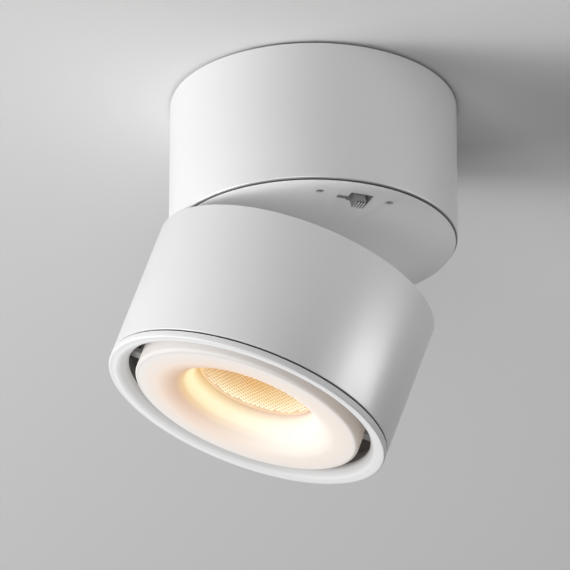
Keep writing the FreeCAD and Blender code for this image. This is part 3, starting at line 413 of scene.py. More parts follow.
def grain_group(grain: Grain) -> Tree:
    """Builds a grain's node group once, and finds it again after that.

    Args:
        grain: The pattern.

    Returns:
        A group with a Place and a Scale, which puts out a Shade and a Relief from 0 to 1.
    """
    found = bpy.data.node_groups.get(grain.value)
    if found:
        return found
    group = bpy.data.node_groups.new(grain.value, "ShaderNodeTree")
    group.interface.new_socket("Place", in_out="INPUT", socket_type="NodeSocketVector")
    for title, side in (("Scale", "INPUT"), ("Shade", "OUTPUT"), ("Relief", "OUTPUT")):
        group.interface.new_socket(title, in_out=side, socket_type="NodeSocketFloat")
    entry = group.nodes.new("NodeGroupInput")
    leave = group.nodes.new("NodeGroupOutput")
    place = entry.outputs["Place"]
    broad = add_node(group, "TexNoise", {"Vector": place, "Scale": BROAD_SCALE, "Detail": BROAD_DETAIL})
    if grain is Grain.BRUSHED:
        stretch = add_node(group, "Mapping", {"Vector": place, "Scale": BRUSH_STRETCH})
        place = stretch.outputs["Vector"]
    pattern = {"Vector": place, "Scale": entry.outputs["Scale"]}
    if grain is Grain.SPANGLE:
        relief = add_node(group, "TexVoronoi", pattern).outputs["Color"]
    else:
        pattern["Detail"] = PEEL_DETAIL if grain is Grain.PEEL else FINE_DETAIL
        relief = add_node(group, "TexNoise", pattern).outputs["Fac"]
    feed(group, leave, {"Shade": broad.outputs["Fac"], "Relief": relief})
    return group


@dataclass(frozen=True)
class Finish:
    """A surface finish with a fine grain, made once and shared by its pieces."""

    name: str
    colour: Colour
    roughness: float
    grain_scale: float = 1500.0
    grain_height: float = 0.02
    variation: float = 0.03
    grain: Grain = Grain.MOULDED
    metallic: float = 0.0
    coat: float = 0.0
    coat_roughness: float = 0.12
    specular: float = 0.5
    ior: float = 1.5
    glow: Colour = (1.0, 1.0, 1.0)
    glow_strength: float = 0.0

    def make(self) -> bpy.types.Material:
        """Builds the finish's material, or finds it where it is already built.

        Returns:
            The material.
        """
        title = f"{self.name}_finish"
        found = bpy.data.materials.get(title)
        if found:
            return found
        material = bpy.data.materials.new(title)
        material.use_nodes = True
        self.paint(material.node_tree)
        return material

    def paint(self, tree: Tree) -> None:
        """Sets the shader and links the grain to its colour, roughness and normal.

        Args:
            tree: The material's nodes.
        """
        where = add_node(tree, "TexCoord", {})
        look = {"Scale": self.grain_scale, "Place": where.outputs["Object"]}
        grain = add_node(tree, "Group", look, node_tree=grain_group(self.grain))
        shade = grain.outputs["Shade"]
        dark = [value * (1 - self.variation) for value in self.colour]
        light = [min(1.0, value * (1 + self.variation)) for value in self.colour]
        tones = {"Factor": shade, "A": (*dark, 1.0), "B": (*light, 1.0)}
        tint = add_node(tree, "Mix", tones, data_type="RGBA")
        spread = add_node(tree, "MapRange", {
            "Value": shade,
            "To Min": self.roughness * (1 - self.variation * 2),
            "To Max": min(1.0, self.roughness * (1 + self.variation * 2)),
        })
        relief = {"Distance": self.grain_height * MM, "Height": grain.outputs["Relief"]}
        bump = add_node(tree, "Bump", relief)
        feed(tree, tree.nodes[SHADER], {
            "Metallic": self.metallic,
            "Coat Weight": self.coat,
            "Coat Roughness": self.coat_roughness,
            "Specular IOR Level": self.specular,
            "IOR": self.ior,
            "Emission Color": (*self.glow, 1.0),
            "Emission Strength": self.glow_strength,
            "Base Color": tint.outputs["Result"],
            "Roughness": spread.outputs["Result"],
            "Normal": bump.outputs["Normal"],
        })


@dataclass(frozen=True)
class BoardFinish(Finish):
    """Green solder mask with brighter tracks."""

    track: Colour = (0.10, 0.36, 0.17)
    track_pitch: float = 420.0
    track_width: float = 0.04

    def paint(self, tree: Tree) -> None:
        """Adds tracks to the plain finish.

        Args:
            tree: The material's nodes.
        """
        super().paint(tree)
        where = add_node(tree, "TexCoord", {})
        bricks = add_node(tree, "TexBrick", {
            "Vector": where.outputs["Object"],
            "Color1": (*self.colour, 1.0),
            "Color2": (*self.colour, 1.0),
            "Mortar": (*self.track, 1.0),
            "Scale": self.track_pitch,
            "Mortar Size": self.track_width,
        })
        feed(tree, tree.nodes[SHADER], {"Base Color": bricks.outputs["Color"]})


@dataclass(frozen=True)
class HeadPlace:
    """Where the folded-out head is: its hinge, its tilt and its own upright frame."""

    pivot: tuple[float, float] = (-44.2, -43.4)
    pivot_up: float = 9.6
    tilt: float = 19.4

    def top(self) -> Vector:
        """Finds the middle of the head's top face.

        Returns:
            The place.
        """
        angle = math.radians(self.tilt)
        across, down = -self.pivot[0], self.pivot_up
        x = self.pivot[0] + across * math.cos(angle) - down * math.sin(angle)
        z = self.pivot[1] - across * math.sin(angle) - down * math.cos(angle)
        return Vector((x, 0, z))

    def place(self, piece: Piece) -> None:
        """Moves a piece from the head's upright frame to where the head hangs."""
        put(piece, self.top(), (0, self.tilt, 0))

    def back(self, place: Vector) -> Vector:
        """Finds a place where the head hangs again in the head's upright frame.

        Args:
            place: The place in metres.

        Returns:
            The same place in the upright frame, in millimetres.
        """
        away = place / MM - self.top()
        away.rotate(Quaternion((0, 1, 0), -math.radians(self.tilt)))
        return away

    def add_frame(self, tree: Tree) -> Socket:
        """Adds nodes that give a place in the head's own upright frame.

        Args:
            tree: The material's nodes.

        Returns:
            The socket with the place.
        """
        where = add_node(tree, "TexCoord", {})
        back = add_node(tree, "Mapping", {
            "Vector": where.outputs["Object"],
            "Location": self.top() * MM,
            "Rotation": (0, math.radians(self.tilt), 0),
        }, vector_type="TEXTURE")
        return back.outputs["Vector"]


HEAD = HeadPlace()


# On the ring and the disc the glow is painted light; on the lens it is the lamp's own light
@dataclass(frozen=True)
class RadialFinish(Finish):
    """A finish with a glow, and a painted shade where it has shade_stops, by how far from the head's axis
    it is.

    The glow blends from stops on one side of the axis to far_stops on the other, towards side_angle.
    """

    stops: Stops = ()
    far_stops: Stops = ()
    shade_stops: Stops = ()
    reach: float = 50.0
    side_angle: float = 0.0
    side_reach: float = 30.0

    def paint(self, tree: Tree) -> None:
        """Adds the glow's rings, and the shade's where it has some, to the plain finish.

        Args:
            tree: The material's nodes.
        """
        super().paint(tree)
        split = add_node(tree, "SeparateXYZ", {"Vector": HEAD.add_frame(tree)})
        flat = add_node(tree, "CombineXYZ", {"X": split.outputs["X"], "Y": split.outputs["Y"]})
        away = flat.outputs["Vector"]
        length = add_node(tree, "VectorMath", {0: away}, operation="LENGTH")
        span = {"Value": length.outputs["Value"], "From Max": self.reach * MM}
        share = add_node(tree, "MapRange", span).outputs["Result"]
        side = (*around(1.0, self.side_angle), 0)
        towards = add_node(tree, "VectorMath", {0: away, 1: side}, operation="DOT_PRODUCT")
        across = add_node(tree, "MapRange", {
            "Value": towards.outputs["Value"],
            "From Min": -self.side_reach * MM,
            "From Max": self.side_reach * MM,
        }, interpolation_type="SMOOTHSTEP")
        lit = add_node(tree, "Mix", {
            "Factor": across.outputs["Result"],
            "A": self.add_ramp(tree, self.stops, share),
            "B": self.add_ramp(tree, self.far_stops, share),
        }, data_type="RGBA")
        self.link_glow(tree, lit.outputs["Result"])
        if self.shade_stops:
            feed(tree, tree.nodes[SHADER], {"Base Color": self.add_ramp(tree, self.shade_stops, share)})

    def add_ramp(self, tree: Tree, stops: Stops, share: Socket) -> Socket:
        """Adds a colour ramp along the distance from the axis.

        Args:
            tree: The material's nodes.
            stops: The colour at each radius, from the axis outwards.
            share: The socket with the distance as a share of the reach.

        Returns:
            The socket with the colour.
        """
        ramp = add_node(tree, "ValToRGB", {"Fac": share})
        ramp.color_ramp.interpolation = "EASE"
        elements = ramp.color_ramp.elements
        for element, (radius, colour) in zip((elements[0], elements[1]), (stops[0], stops[-1])):
            element.position = radius / self.reach
            element.color = (*colour, 1.0)
        for radius, colour in stops[1:-1]:
            elements.new(radius / self.reach).color = (*colour, 1.0)
        return ramp.outputs["Color"]

    def link_glow(self, tree: Tree, colour: Socket) -> None:
        """Links the socket with the glow's colour to the shader."""
        feed(tree, tree.nodes[SHADER], {"Emission Color": colour})


@dataclass(frozen=True)
class DomeFinish(RadialFinish):
    """A radial glow with a painted highlight: bright where a dome faces the viewer and deep at its sides.
    """

    side_share: float = 0.20
    face_share: float = 1.55

    def link_glow(self, tree: Tree, colour: Socket) -> None:
        """Links the glow's colour, scaled by how the dome faces as a painted highlight, to the shader.

        Args:
            tree: The material's nodes.
            colour: The socket with the glow's colour.
        """
        facing = add_node(tree, "LayerWeight", {})
        share = add_node(tree, "MapRange", {
            "Value": facing.outputs["Facing"],
            "To Min": self.face_share,
            "To Max": self.side_share,
        })
        product = {0: colour, "Scale": share.outputs["Result"]}
        scaled = add_node(tree, "VectorMath", product, operation="SCALE")
        super().link_glow(tree, scaled.outputs["Vector"])


def grey(level: float) -> Colour:
    """Returns an even grey."""
    return level, level, level


def shaded(name: str, level: float) -> Finish:
    """Returns the dull grey of faces in a gap or a window, where little light comes."""
    return Finish(name, grey(level), 0.70, 1600.0, 0.02, 0.05, specular=0.2)


# The stops' colours below are fitted: they follow the photograph's mean colours, ring by ring and side by
# side, less the light that the render already had there

PEEL = (900.0, 0.0015, 0.006, Grain.PEEL)
WHITE_PAINT = Finish("white_paint", grey(0.78), 0.34, *PEEL, specular=0.9, ior=1.85)
# The plate's white paint has a faint glow, which is painted light for light thrown back onto it
PLATE_PAINT_AND_PAINTED_LIGHT = Finish("plate_paint_and_painted_light", grey(0.86), 0.55, *PEEL, specular=0.3, glow_strength=0.06)
# Painted light on one side of the ring's inner slope (stops), and painted shade towards its throat
# (shade_stops)
RING_PAINT_PAINTED_LIGHT_AND_SHADE = RadialFinish(
    "ring_paint_painted_light_and_shade", grey(0.76), 0.50, *PEEL, specular=0.3,
    glow_strength=1.0, side_angle=15.0, side_reach=40.0,
    stops=(
        (43.8, (0.24, 0.23, 0.22)), (44.8, (0.28, 0.275, 0.27)), (46.2, grey(0.26)), (47.3, grey(0.14)),
        (49.0, grey(0.0)),
    ),
    far_stops=(
        (43.8, grey(0.0)), (49.0, grey(0.0)),
    ),
    shade_stops=(
        (43.8, grey(0.30)), (44.8, grey(0.50)), (46.5, grey(0.68)), (48.0, grey(0.78)),
    ),
)
NECK_SHADE = shaded("neck_shade", 0.34)
GAP_SHADE = shaded("gap_shade", 0.02)
DEEP_SHADE = shaded("deep_shade", 0.15)
SLOT_SHADE = shaded("slot_shade", 0.55)
# A painted highlight on the tips of the knob's ribs, far lighter than the knob's own grey
RIB_TIP_PAINTED_HIGHLIGHT = Finish("rib_tip_painted_highlight", (0.94, 0.94, 0.93), 0.45, 1800.0, 0.02, 0.05)
SWITCH_GREY = Finish("switch_grey", grey(0.30), 0.45, 1800.0, 0.02, 0.08)
# Painted light: the lamp's warm light on the bell and the face, different on each side (stops, far_stops)
# Painted shade on the rounded rim, which tones down its highlight (shade_stops)
DISC_PAINTED_LIGHT_AND_SHADE = RadialFinish(
    "disc_white", (0.70, 0.68, 0.66), 0.55, 1400.0, 0.004, 0.01, specular=0.15,
    glow_strength=1.0, side_angle=15.0, side_reach=24.0,
    stops=(
        (21.5, (0.50, 0.36, 0.14)), (22.2, (0.57, 0.54, 0.32)), (23.2, (0.58, 0.51, 0.27)),
        (24.6, (0.44, 0.24, 0.05)), (26.5, (0.29, 0.11, 0.0)), (30.5, (0.25, 0.10, 0.0)),
        (34.5, (0.19, 0.12, 0.07)), (39.0, (0.15, 0.13, 0.12)),
    ),
    far_stops=(
        (21.5, (0.12, 0.05, 0.01)), (22.5, (0.06, 0.08, 0.06)), (25.0, (0.10, 0.11, 0.08)),
        (28.0, (0.24, 0.17, 0.11)), (33.0, (0.23, 0.16, 0.10)), (39.0, (0.19, 0.15, 0.12)),
    ),
    shade_stops=(
        (38.6, (0.70, 0.68, 0.66)), (39.5, (0.56, 0.55, 0.54)), (40.1, (0.58, 0.57, 0.56)),
        (40.4, (0.72, 0.70, 0.68)),
    ),
)
LENS = RadialFinish(
    "lens_clear", (0.12, 0.08, 0.05), 0.22, 900.0, 0.01, 0.04, coat=0.4,
    glow_strength=1.0, side_angle=75.0, side_reach=18.0,
    stops=(
        (0.0, (0.38, 0.14, 0.01)), (18.8, (0.42, 0.19, 0.04)), (19.6, (0.78, 0.50, 0.20)),
        (20.5, (0.78, 0.50, 0.20)), (20.85, (0.45, 0.13, 0.01)),
    ),
    far_stops=(
        (0.0, (0.48, 0.22, 0.05)), (18.8, (0.52, 0.30, 0.11)), (19.6, (0.76, 0.56, 0.36)),
        (20.5, (0.76, 0.56, 0.36)), (20.85, (0.40, 0.14, 0.03)),
    ),
)
# The lens cells glow with the lamp's light, with a painted highlight where each dome faces the viewer
LENS_CELL_AND_PAINTED_HIGHLIGHT = DomeFinish(
    "lens_cells", (0.12, 0.08, 0.04), 0.10, 900.0, 0.01, 0.04, coat=0.5,
    glow_strength=1.0, side_angle=75.0, side_reach=16.0,
    stops=(
        (0.0, (0.50, 0.23, 0.03)), (10.0, (0.42, 0.18, 0.02)), (19.5, (0.54, 0.28, 0.06)),
    ),
    far_stops=(
        (0.0, (0.70, 0.42, 0.15)), (10.0, (0.80, 0.58, 0.30)), (19.5, (0.90, 0.76, 0.54)),
    ),
)

HIDDEN_FINISHES = (
    Finish("zinc_steel", (0.60, 0.61, 0.62), 0.38, 420.0, 0.01, 0.06, Grain.SPANGLE, metallic=0.9),
    Finish("screw_steel", (0.50, 0.51, 0.52), 0.32, 2600.0, 0.01, 0.06, Grain.BRUSHED, metallic=1.0),
    Finish("screw_dark", (0.48, 0.47, 0.46), 0.40, 2600.0, 0.01, 0.06, Grain.BRUSHED, metallic=0.3),
    Finish("terminal_brass", (0.70, 0.50, 0.18), 0.28, 2600.0, 0.01, 0.06, Grain.BRUSHED, metallic=1.0),
    Finish("sink_aluminium", (0.62, 0.63, 0.64), 0.36, 1800.0, 0.02, 0.05, Grain.BRUSHED, metallic=0.9),
    Finish("winding_yellow", (0.62, 0.42, 0.06), 0.50, 2200.0, 0.05, 0.10, Grain.BRUSHED),
    Finish("black_rubber", (0.022, 0.022, 0.023), 0.78, 1800.0, 0.03, 0.10),
    Finish("bush_plastic", (0.74, 0.71, 0.62), 0.55, grain_scale=1600.0),
    Finish("clip_plastic", (0.30, 0.30, 0.29), 0.45, grain_scale=1600.0),
    Finish("driver_plastic", (0.74, 0.74, 0.72), 0.60, 1300.0, 0.03, 0.03),
    Finish("terminal_white", (0.78, 0.78, 0.76), 0.40),
    Finish("switch_black", grey(0.05), 0.55, 1800.0, 0.02, 0.08),
    Finish("capacitor_black", (0.02, 0.02, 0.03), 0.22, 1500.0, 0.01, 0.05, coat=0.3),
    Finish("board_aluminium", (0.80, 0.80, 0.78), 0.40, 1500.0, 0.01, 0.03, metallic=0.3),
    Finish("reflector_bright", (0.88, 0.84, 0.76), 0.10, 900.0, 0.01, 0.02, metallic=1.0),
    BoardFinish("board_green", (0.03, 0.16, 0.07), 0.35, 1500.0, 0.01, 0.05, coat=0.4),
    Finish(
        "emitter_yellow", (0.92, 0.62, 0.12), 0.35, 1500.0, 0.02, 0.04, coat=0.6,
        glow=(1.0, 0.70, 0.34), glow_strength=4.0,
    ),
)
SLOT_FINISHES = {
    finish.name: finish for finish in (WHITE_PAINT, SWITCH_GREY, LENS, DISC_PAINTED_LIGHT_AND_SHADE, *HIDDEN_FINISHES)
}


def paint_faces(piece: Piece, finish: Finish, test: FaceTest) -> None:
    """Gives those of a piece's faces that pass a test a finish of their own.

    Args:
        piece: The piece, with its main finish on it.
        finish: The chosen faces' finish.
        test: Says whether a face is taken, from its middle and its normal.
    """
    only(piece)
    bpy.ops.object.material_slot_add()
    piece.material_slots[-1].material = finish.make()
    with editing(piece, "FACE"):
        mesh = bmesh.from_edit_mesh(piece.data)
        for face in mesh.faces:
            face.select_set(test(face.calc_center_median(), face.normal))
        bmesh.update_edit_mesh(piece.data)
        bpy.ops.object.material_slot_assign()


# Pieces


@dataclass
class SubAssembly:
    """A group of pieces that ride on one body."""

    body: Body

    def dress(self, piece: Piece, finish: Finish, slot: str, *nodes: str) -> None:
        """Shades a piece smooth apart from its sharp edges, dresses it and files it.

        Args:
            piece: The piece in its place.
            finish: Its finish.
            slot: The record's material slot for the piece; not used.
            nodes: The nodes that it stands for.
        """
        only(piece)
        bpy.ops.object.shade_smooth_by_angle(angle=SMOOTH_ANGLE)
        piece.data.materials.clear()
        piece.data.materials.append(finish.make())
        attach(piece, self.body.value)
        if nodes:
            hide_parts(*nodes)
        LOG.info("%s rides on %s", piece.name, self.body.value)


@dataclass
class BaseDrum(SubAssembly):
    """The drum against the ceiling."""

    body: Body = Body.BASE
    radius: float = 49.98
    bore: float = 48.8
    top: float = -0.8
    lip: float = -52.0
    lip_bevel: float = 0.35
    lip_round: float = 0.8
    lip_shade: float = 49.75
    edge: float = 0.22
    flange_bore: float = 34.0
    flange_top: float = -1.7
    flange_low: float = -3.7
    stud_circle: float = 40.5
    keyholes: int = 3
    keyhole_start: float = 90.0
    keyhole_shift: float = 12.5
    keyhole_narrow: float = 1.9
    keyhole_wide: float = 3.5

    def build(self) -> None:
        """Turns the wall and flange in one, with eased edges, and cuts the keyholes."""
        top_middle = (self.radius - self.edge, self.top - self.edge)
        top_edge = arc(top_middle, self.edge, UPWARDS, OUTWARDS, EDGE_STRIPS)
        low_middle = (self.radius - self.lip_round, self.lip + self.lip_round)
        drum = turned("base_drum", [
            *top_edge,
            *arc(low_middle, self.lip_round, OUTWARDS, DOWNWARDS, LIP_STRIPS),
            (self.bore + self.lip_bevel, self.lip),
            (self.bore, self.lip + self.lip_bevel),
            (self.bore, self.flange_low),
            (self.flange_bore, self.flange_low),
            (self.flange_bore, self.flange_top),
            (self.bore, self.flange_top),
            (self.bore, self.top),
            top_edge[0],
        ])
        for number in range(self.keyholes):
            self.cut_keyhole(drum, self.keyhole_start + number * 360 / self.keyholes)
        self.dress(drum, WHITE_PAINT, "white_paint", "base_shell")
        paint_faces(drum, NECK_SHADE, self.is_in_gap)

    def is_in_gap(self, place: Vector, normal: Vector) -> bool:
        """Says whether a face is on the drum's inside or the inner part of its lip."""
        return place.z < self.flange_low * MM and place.xy.length < self.lip_shade * MM

    def cut_keyhole(self, drum: Piece, start: float) -> None:
        """Cuts one keyhole into the flange.

        Args:
            drum: The drum.
            start: The angle of the keyhole's narrow end, in degrees.
        """
        low, high = self.flange_low - CUT_PAST, self.flange_top + CUT_PAST
        narrow = around(self.stud_circle, start)
        wide = around(self.stud_circle, start + self.keyhole_shift)
        half = math.dist(narrow, wide) / 2
        slot = bar((-half, half, -self.keyhole_narrow, self.keyhole_narrow), low, high)
        middle = ((narrow[0] + wide[0]) / 2, (narrow[1] + wide[1]) / 2, 0)
        put(slot, middle, (0, 0, 90 + start + self.keyhole_shift / 2))
        ends = [rod(narrow, low, high, self.keyhole_narrow), rod(wide, low, high, self.keyhole_wide)]
        cut(drum, [*ends, slot])


@dataclass
class Turntable(SubAssembly):
    """The plate under the drum with the selector's window."""

    body: Body = Body.TURNTABLE
    radius: float = 49.2
    bevel: float = 1.4
    edge: float = 0.12
    rim_end: float = 25.0
    bottom: float = -52.7
    top: float = -50.7
    bore: float = 5.5
    outside: float = 60.0
    chord: float = -44.2
    notch_end: float = -29.1
    notch_half: float = 6.7
    switch_place: float = 38.7
    switch_angle: float = -68.65
    window: Sides = (-2.3, 5.7, -3.0, 3.0)
    index_slot: Sides = (-6.0, -1.8, 0.1, 2.3)
    slot_reach: float = 9.0
    wall_slope: float = 0.3
    screw_places: tuple[float, float] = (-12.65, 12.65)
    screw_hole: float = 0.9
    recess: float = 1.5
    recess_top: float = -51.5

    def build(self) -> None:
        """Turns the plate, eases its rim and cuts its openings."""
        neck = self.radius - self.bevel
        rim_middle = (self.radius - self.edge, self.bottom + self.edge)
        plate = turned("turntable_plate", [
            (self.bore, self.bottom),
            *arc(rim_middle, self.edge, DOWNWARDS, self.rim_end, RIM_STRIPS),
            (neck, self.bottom + self.bevel),
            (neck, self.top),
            (self.bore, self.top),
            (self.bore, self.bottom),
        ])
        low, high = self.bottom - CUT_PAST, self.top + CUT_PAST
        out, half = self.outside, self.notch_half
        cutters = [
            bar((-out, self.chord, -out, out), low, high),
            bar((-out, self.notch_end, -half, half), low, high),
            self.switch_block(self.window, low, high),
            self.switch_block(self.index_slot, low, high),
        ]
        for along in self.screw_places:
            place = self.on_switch(along)
            cutters.append(rod(place, low, high, self.screw_hole, SCREW_SIDES))
            cutters.append(rod(place, low, self.recess_top, self.recess))
        cut(plate, cutters)
        # White paint with a faint painted light on it, for light thrown back onto the plate
        self.dress(plate, PLATE_PAINT_AND_PAINTED_LIGHT, "white_paint", "swivel_plate")
        paint_faces(plate, NECK_SHADE, self.is_above_rim)
        paint_faces(plate, SLOT_SHADE, self.is_slot_wall)

    def is_above_rim(self, place: Vector, normal: Vector) -> bool:
        """Says whether a face is on the plate's bevel or neck, behind its rim."""
        inside = self.radius + self.edge - self.bevel * 2
        return place.z > (self.bottom + self.edge * 2) * MM and place.xy.length > inside * MM

    def is_slot_wall(self, place: Vector, normal: Vector) -> bool:
        """Says whether a face is a wall of the selector's window or slot."""
        near = (place.xy - Vector(self.on_switch(0.0)) * MM).length < self.slot_reach * MM
        return near and abs(normal.z) < self.wall_slope

    def on_switch(self, along: float) -> tuple[float, float]:
        """Finds a point on the line through the switch's screws.

        Args:
            along: How far it is from the middle between the screws.

        Returns:
            Its place along X and Y.
        """
        angle = math.radians(self.switch_angle)
        x = self.switch_place * math.cos(angle) - along * math.sin(angle)
        y = self.switch_place * math.sin(angle) + along * math.cos(angle)
        return x, y

    def switch_block(self, sides: Sides, low: float, high: float) -> Piece:
        """Makes a cutter that lies along the switch.

        Args:
            sides: Its ends along the switch, and then its outer and inner side.
            low: Its lower face.
            high: Its upper face.

        Returns:
            The cutter.
        """
        block = bar(sides, low, high)
        self.lay_on_switch(block)
        return block

    def lay_on_switch(self, piece: Piece) -> None:
        """Turns and moves a piece from the switch's own frame to its place."""
        put(piece, (*self.on_switch(0.0), 0), (0, 0, self.switch_angle + 90))


@dataclass
class Selector(SubAssembly):
    """The slider, whose leaning ribbed knob comes out of the plate's window."""

    body: Body = Body.SELECTOR
    base: Sides = (-4.6, 6.2, -4.0, 4.0)
    base_low: float = -50.6
    base_high: float = -49.4
    overlap: float = 0.1
    knob: Sides = (-1.2, 2.8, -2.3, 2.3)
    knob_waist: float = -52.7
    knob_reach: float = 3.0
    knob_lean: float = 0.95
    knob_edge: float = 0.07
    knob_strips: int = 2
    grooves: int = 4
    rib_pitch: float = 1.0
    rib_groove: float = 0.5
    rib_deep: float = 0.6
    floor_slope: float = -0.9

    def build(self, table: Turntable) -> None:
        """Makes the slider's base and knob; paints a highlight on the ribs and shade in the grooves.

        Args:
            table: The plate whose window the slider is in.
        """
        slider = self.make_knob()
        base = bar(self.base, self.base_low, self.base_high, "slider_base")
        only(slider)
        base.select_set(True)
        bpy.ops.object.join()
        table.lay_on_switch(slider)
        self.dress(slider, SWITCH_GREY, "switch_grey", "switch_slider")
        tip = (self.knob_waist - self.knob_reach + self.rib_groove / 2) * MM
        floor = tip + self.rib_deep * MM
        # Painted highlight on the ribs' tips, and painted shade on the groove floors
        paint_faces(slider, RIB_TIP_PAINTED_HIGHLIGHT, lambda place, normal: place.z < tip)
        paint_faces(
            slider, GAP_SHADE, lambda place, normal: tip < place.z < floor and normal.z < self.floor_slope
        )

    def make_knob(self) -> Piece:
        """Draws the knob down from a block and cuts its grooves.

        Returns:
            The knob in the switch's own frame.
        """
        knob = bar(self.knob, self.knob_waist, self.base_low + self.overlap, "selector_slider")
        with editing(knob):
            choose(knob, lambda place: place.z < (self.knob_waist + self.overlap) * MM)
            move = (self.knob_lean * MM, 0, -self.knob_reach * MM)
            bpy.ops.mesh.extrude_region_move(TRANSFORM_OT_translate={"value": move})
        face_outwards(knob)
        start, end, outer, inner = self.knob
        tip = self.knob_waist - self.knob_reach
        first = (start + end - self.rib_groove - self.rib_pitch * (self.grooves - 1)) / 2 + self.knob_lean
        cutters = []
        for number in range(self.grooves):
            left = first + self.rib_pitch * number
            groove = (left, left + self.rib_groove, outer - CUT_PAST, inner + CUT_PAST)
            cutters.append(bar(groove, tip - CUT_PAST, tip + self.rib_deep))
        cut(knob, cutters)
        modify(
            knob, "BEVEL", width=self.knob_edge * MM, segments=self.knob_strips,
            limit_method="ANGLE", angle_limit=BEVEL_ANGLE,
        )
        return knob


@dataclass
class LampHead(SubAssembly):
    """The head's cup, ring, disc and lens, each turned upright and then hung in place."""

    body: Body = Body.HEAD
    radius: float = 49.98
    bore: float = 48.0
    edge: float = 0.25
    lip_bevel: float = 1.4
    top_thick: float = 4.0
    wall_end: float = -49.2
    beside: float = 0.1
    knob_pocket: Sides = (-3.2, 7.55, -3.2, 3.2)
    knob_deep: float = 3.1
    relief_reach: float = 10.72
    relief_half: float = 15.5
    foot: Sides = (-33.15, -18.05, -6.15, 6.15)
    foot_deep: float = 2.4
    lead_hole: float = 4.5
    boss_circle: float = 30.0
    sink_screws: int = 3
    screw_head: float = 2.95
    screw_deep: float = 1.5
    screw_shank: float = 1.6
    face: float = -52.2
    ring_top: float = -49.86
    ring_round: float = 0.6
    ring_lip: float = 47.3
    ring_throat: float = 43.9
    slope_steps: int = 10
    slope_power: float = 1.6
    slope_deep: float = 2.9
    ring_back: float = 3.9
    ring_behind: float = 3.5
    skirt_inner: float = 46.1
    skirt_middle: float = 46.85
    skirt_outer: float = 47.6
    skirt_top: float = -43.0
    disc_radius: float = 40.4
    disc_wall: float = 1.6
    disc_back: float = -32.0
    disc_throat_end: float = -36.0
    rim_round: float = 1.3
    mouth: float = 32.5
    bell: float = 11.0
    lens_radius: float = 21.2
    lens_back: float = -38.6
    lens_face: float = -41.6
    lens_shoulder: float = 0.9
    band: Ring = (19.6, 20.9)
    band_crown: float = 0.1
    face_deep: float = 0.63
    cell_pitch: float = 1.65
    cell_fill: float = 0.90
    cell_root: float = 0.1
    cell_reach: float = 20.3
    cell_rings: tuple[Ring, ...] = ((0.14, 0.94), (0.16, 0.82), (0.12, 0.62), (0.055, 0.40))

    def build(self) -> None:
        """Makes the head's visible pieces."""
        self.build_cup()
        self.build_ring()
        self.build_disc()
        self.build_lens()

    def build_cup(self) -> None:
        """Turns the cup and cuts the trough that clears the drum's lip, the pockets and the holes."""
        out, ease = self.radius - self.edge, self.edge
        cup = turned("head_cup", [
            (self.lead_hole, 0.0),
            *arc((out, -ease), ease, UPWARDS, OUTWARDS, EDGE_STRIPS),
            *arc((out, self.wall_end + ease), ease, OUTWARDS, DOWNWARDS, EDGE_STRIPS),
            (self.bore + self.lip_bevel, self.wall_end),
            (self.bore, self.wall_end + self.lip_bevel),
            (self.bore, -self.top_thick),
            (self.lead_hole, -self.top_thick),
            (self.lead_hole, 0.0),
        ])
        foot_pocket = bar(self.foot, -self.foot_deep, CUT_PAST)
        knob_pocket = Turntable().switch_block(self.knob_pocket, -self.knob_deep, CUT_PAST)
        trough = rod((0, 0), -self.relief_half, self.relief_half, self.relief_reach, ROUND_SIDES)
        put(trough, (HEAD.pivot[0], 0, HEAD.pivot_up), (90, 0, 0))
        cut(cup, [trough, foot_pocket, knob_pocket, *self.screw_cutters()])
        HEAD.place(cup)
        self.dress(cup, WHITE_PAINT, "white_paint", "head_shell")
        paint_faces(cup, DEEP_SHADE, self.is_inside_cup)

    def screw_cutters(self) -> list[Piece]:
        """Makes the stepped holes of the heat sink's screws.

        Returns:
            The cutters.
        """
        cutters = []
        for number in range(self.sink_screws):
            place = around(self.boss_circle, number * 360 / self.sink_screws)
            cutters.append(rod(place, -self.screw_deep, CUT_PAST, self.screw_head))
            cutters.append(rod(place, -self.top_thick - CUT_PAST, CUT_PAST, self.screw_shank))
        return cutters

    def build_ring(self) -> None:
        """Turns the ring with its rounded lip and its soft inner slope."""
        lip_middle = (self.radius - self.ring_round, self.face + self.ring_round)
        slope = []
        for step in range(1, self.slope_steps):
            share = step / self.slope_steps
            radius = self.ring_lip + (self.ring_throat - self.ring_lip) * share
            slope.append((radius, self.face + self.slope_deep * share ** self.slope_power))
        ring = turned("mouth_ring", [
            (self.radius, self.ring_top),
            *arc(lip_middle, self.ring_round, OUTWARDS, DOWNWARDS, LIP_STRIPS),
            (self.ring_lip, self.face),
            *slope,
            (self.ring_throat, self.face + self.slope_deep),
            (self.ring_throat, self.face + self.ring_back),
            (self.skirt_inner, self.face + self.ring_back),
            (self.skirt_inner, self.skirt_top),
            (self.skirt_outer, self.skirt_top),
            (self.skirt_outer, self.ring_top),
            (self.radius, self.ring_top),
        ])
        HEAD.place(ring)
        # The ring's paint carries painted light on its slope and painted shade towards the throat
        self.dress(ring, RING_PAINT_PAINTED_LIGHT_AND_SHADE, "white_paint", "trim_ring")
        paint_faces(ring, DEEP_SHADE, self.is_behind_ring)
        paint_faces(ring, GAP_SHADE, self.is_skirt)

    def is_behind_ring(self, place: Vector, normal: Vector) -> bool:
        """Says whether a face is behind the ring or on its skirt."""
        return HEAD.back(place).z > self.face + self.ring_behind

    def is_inside_cup(self, place: Vector, normal: Vector) -> bool:
        """Says whether a face is on the cup's inside."""
        upright = HEAD.back(place)
        return upright.z < self.beside - self.top_thick and upright.xy.length < self.bore + self.beside

    def is_skirt(self, place: Vector, normal: Vector) -> bool:
        """Says whether a face is on the outside of the ring's skirt or on its top, in the gap."""
        upright = HEAD.back(place)
        return upright.z > self.ring_top - self.beside and upright.xy.length > self.skirt_middle

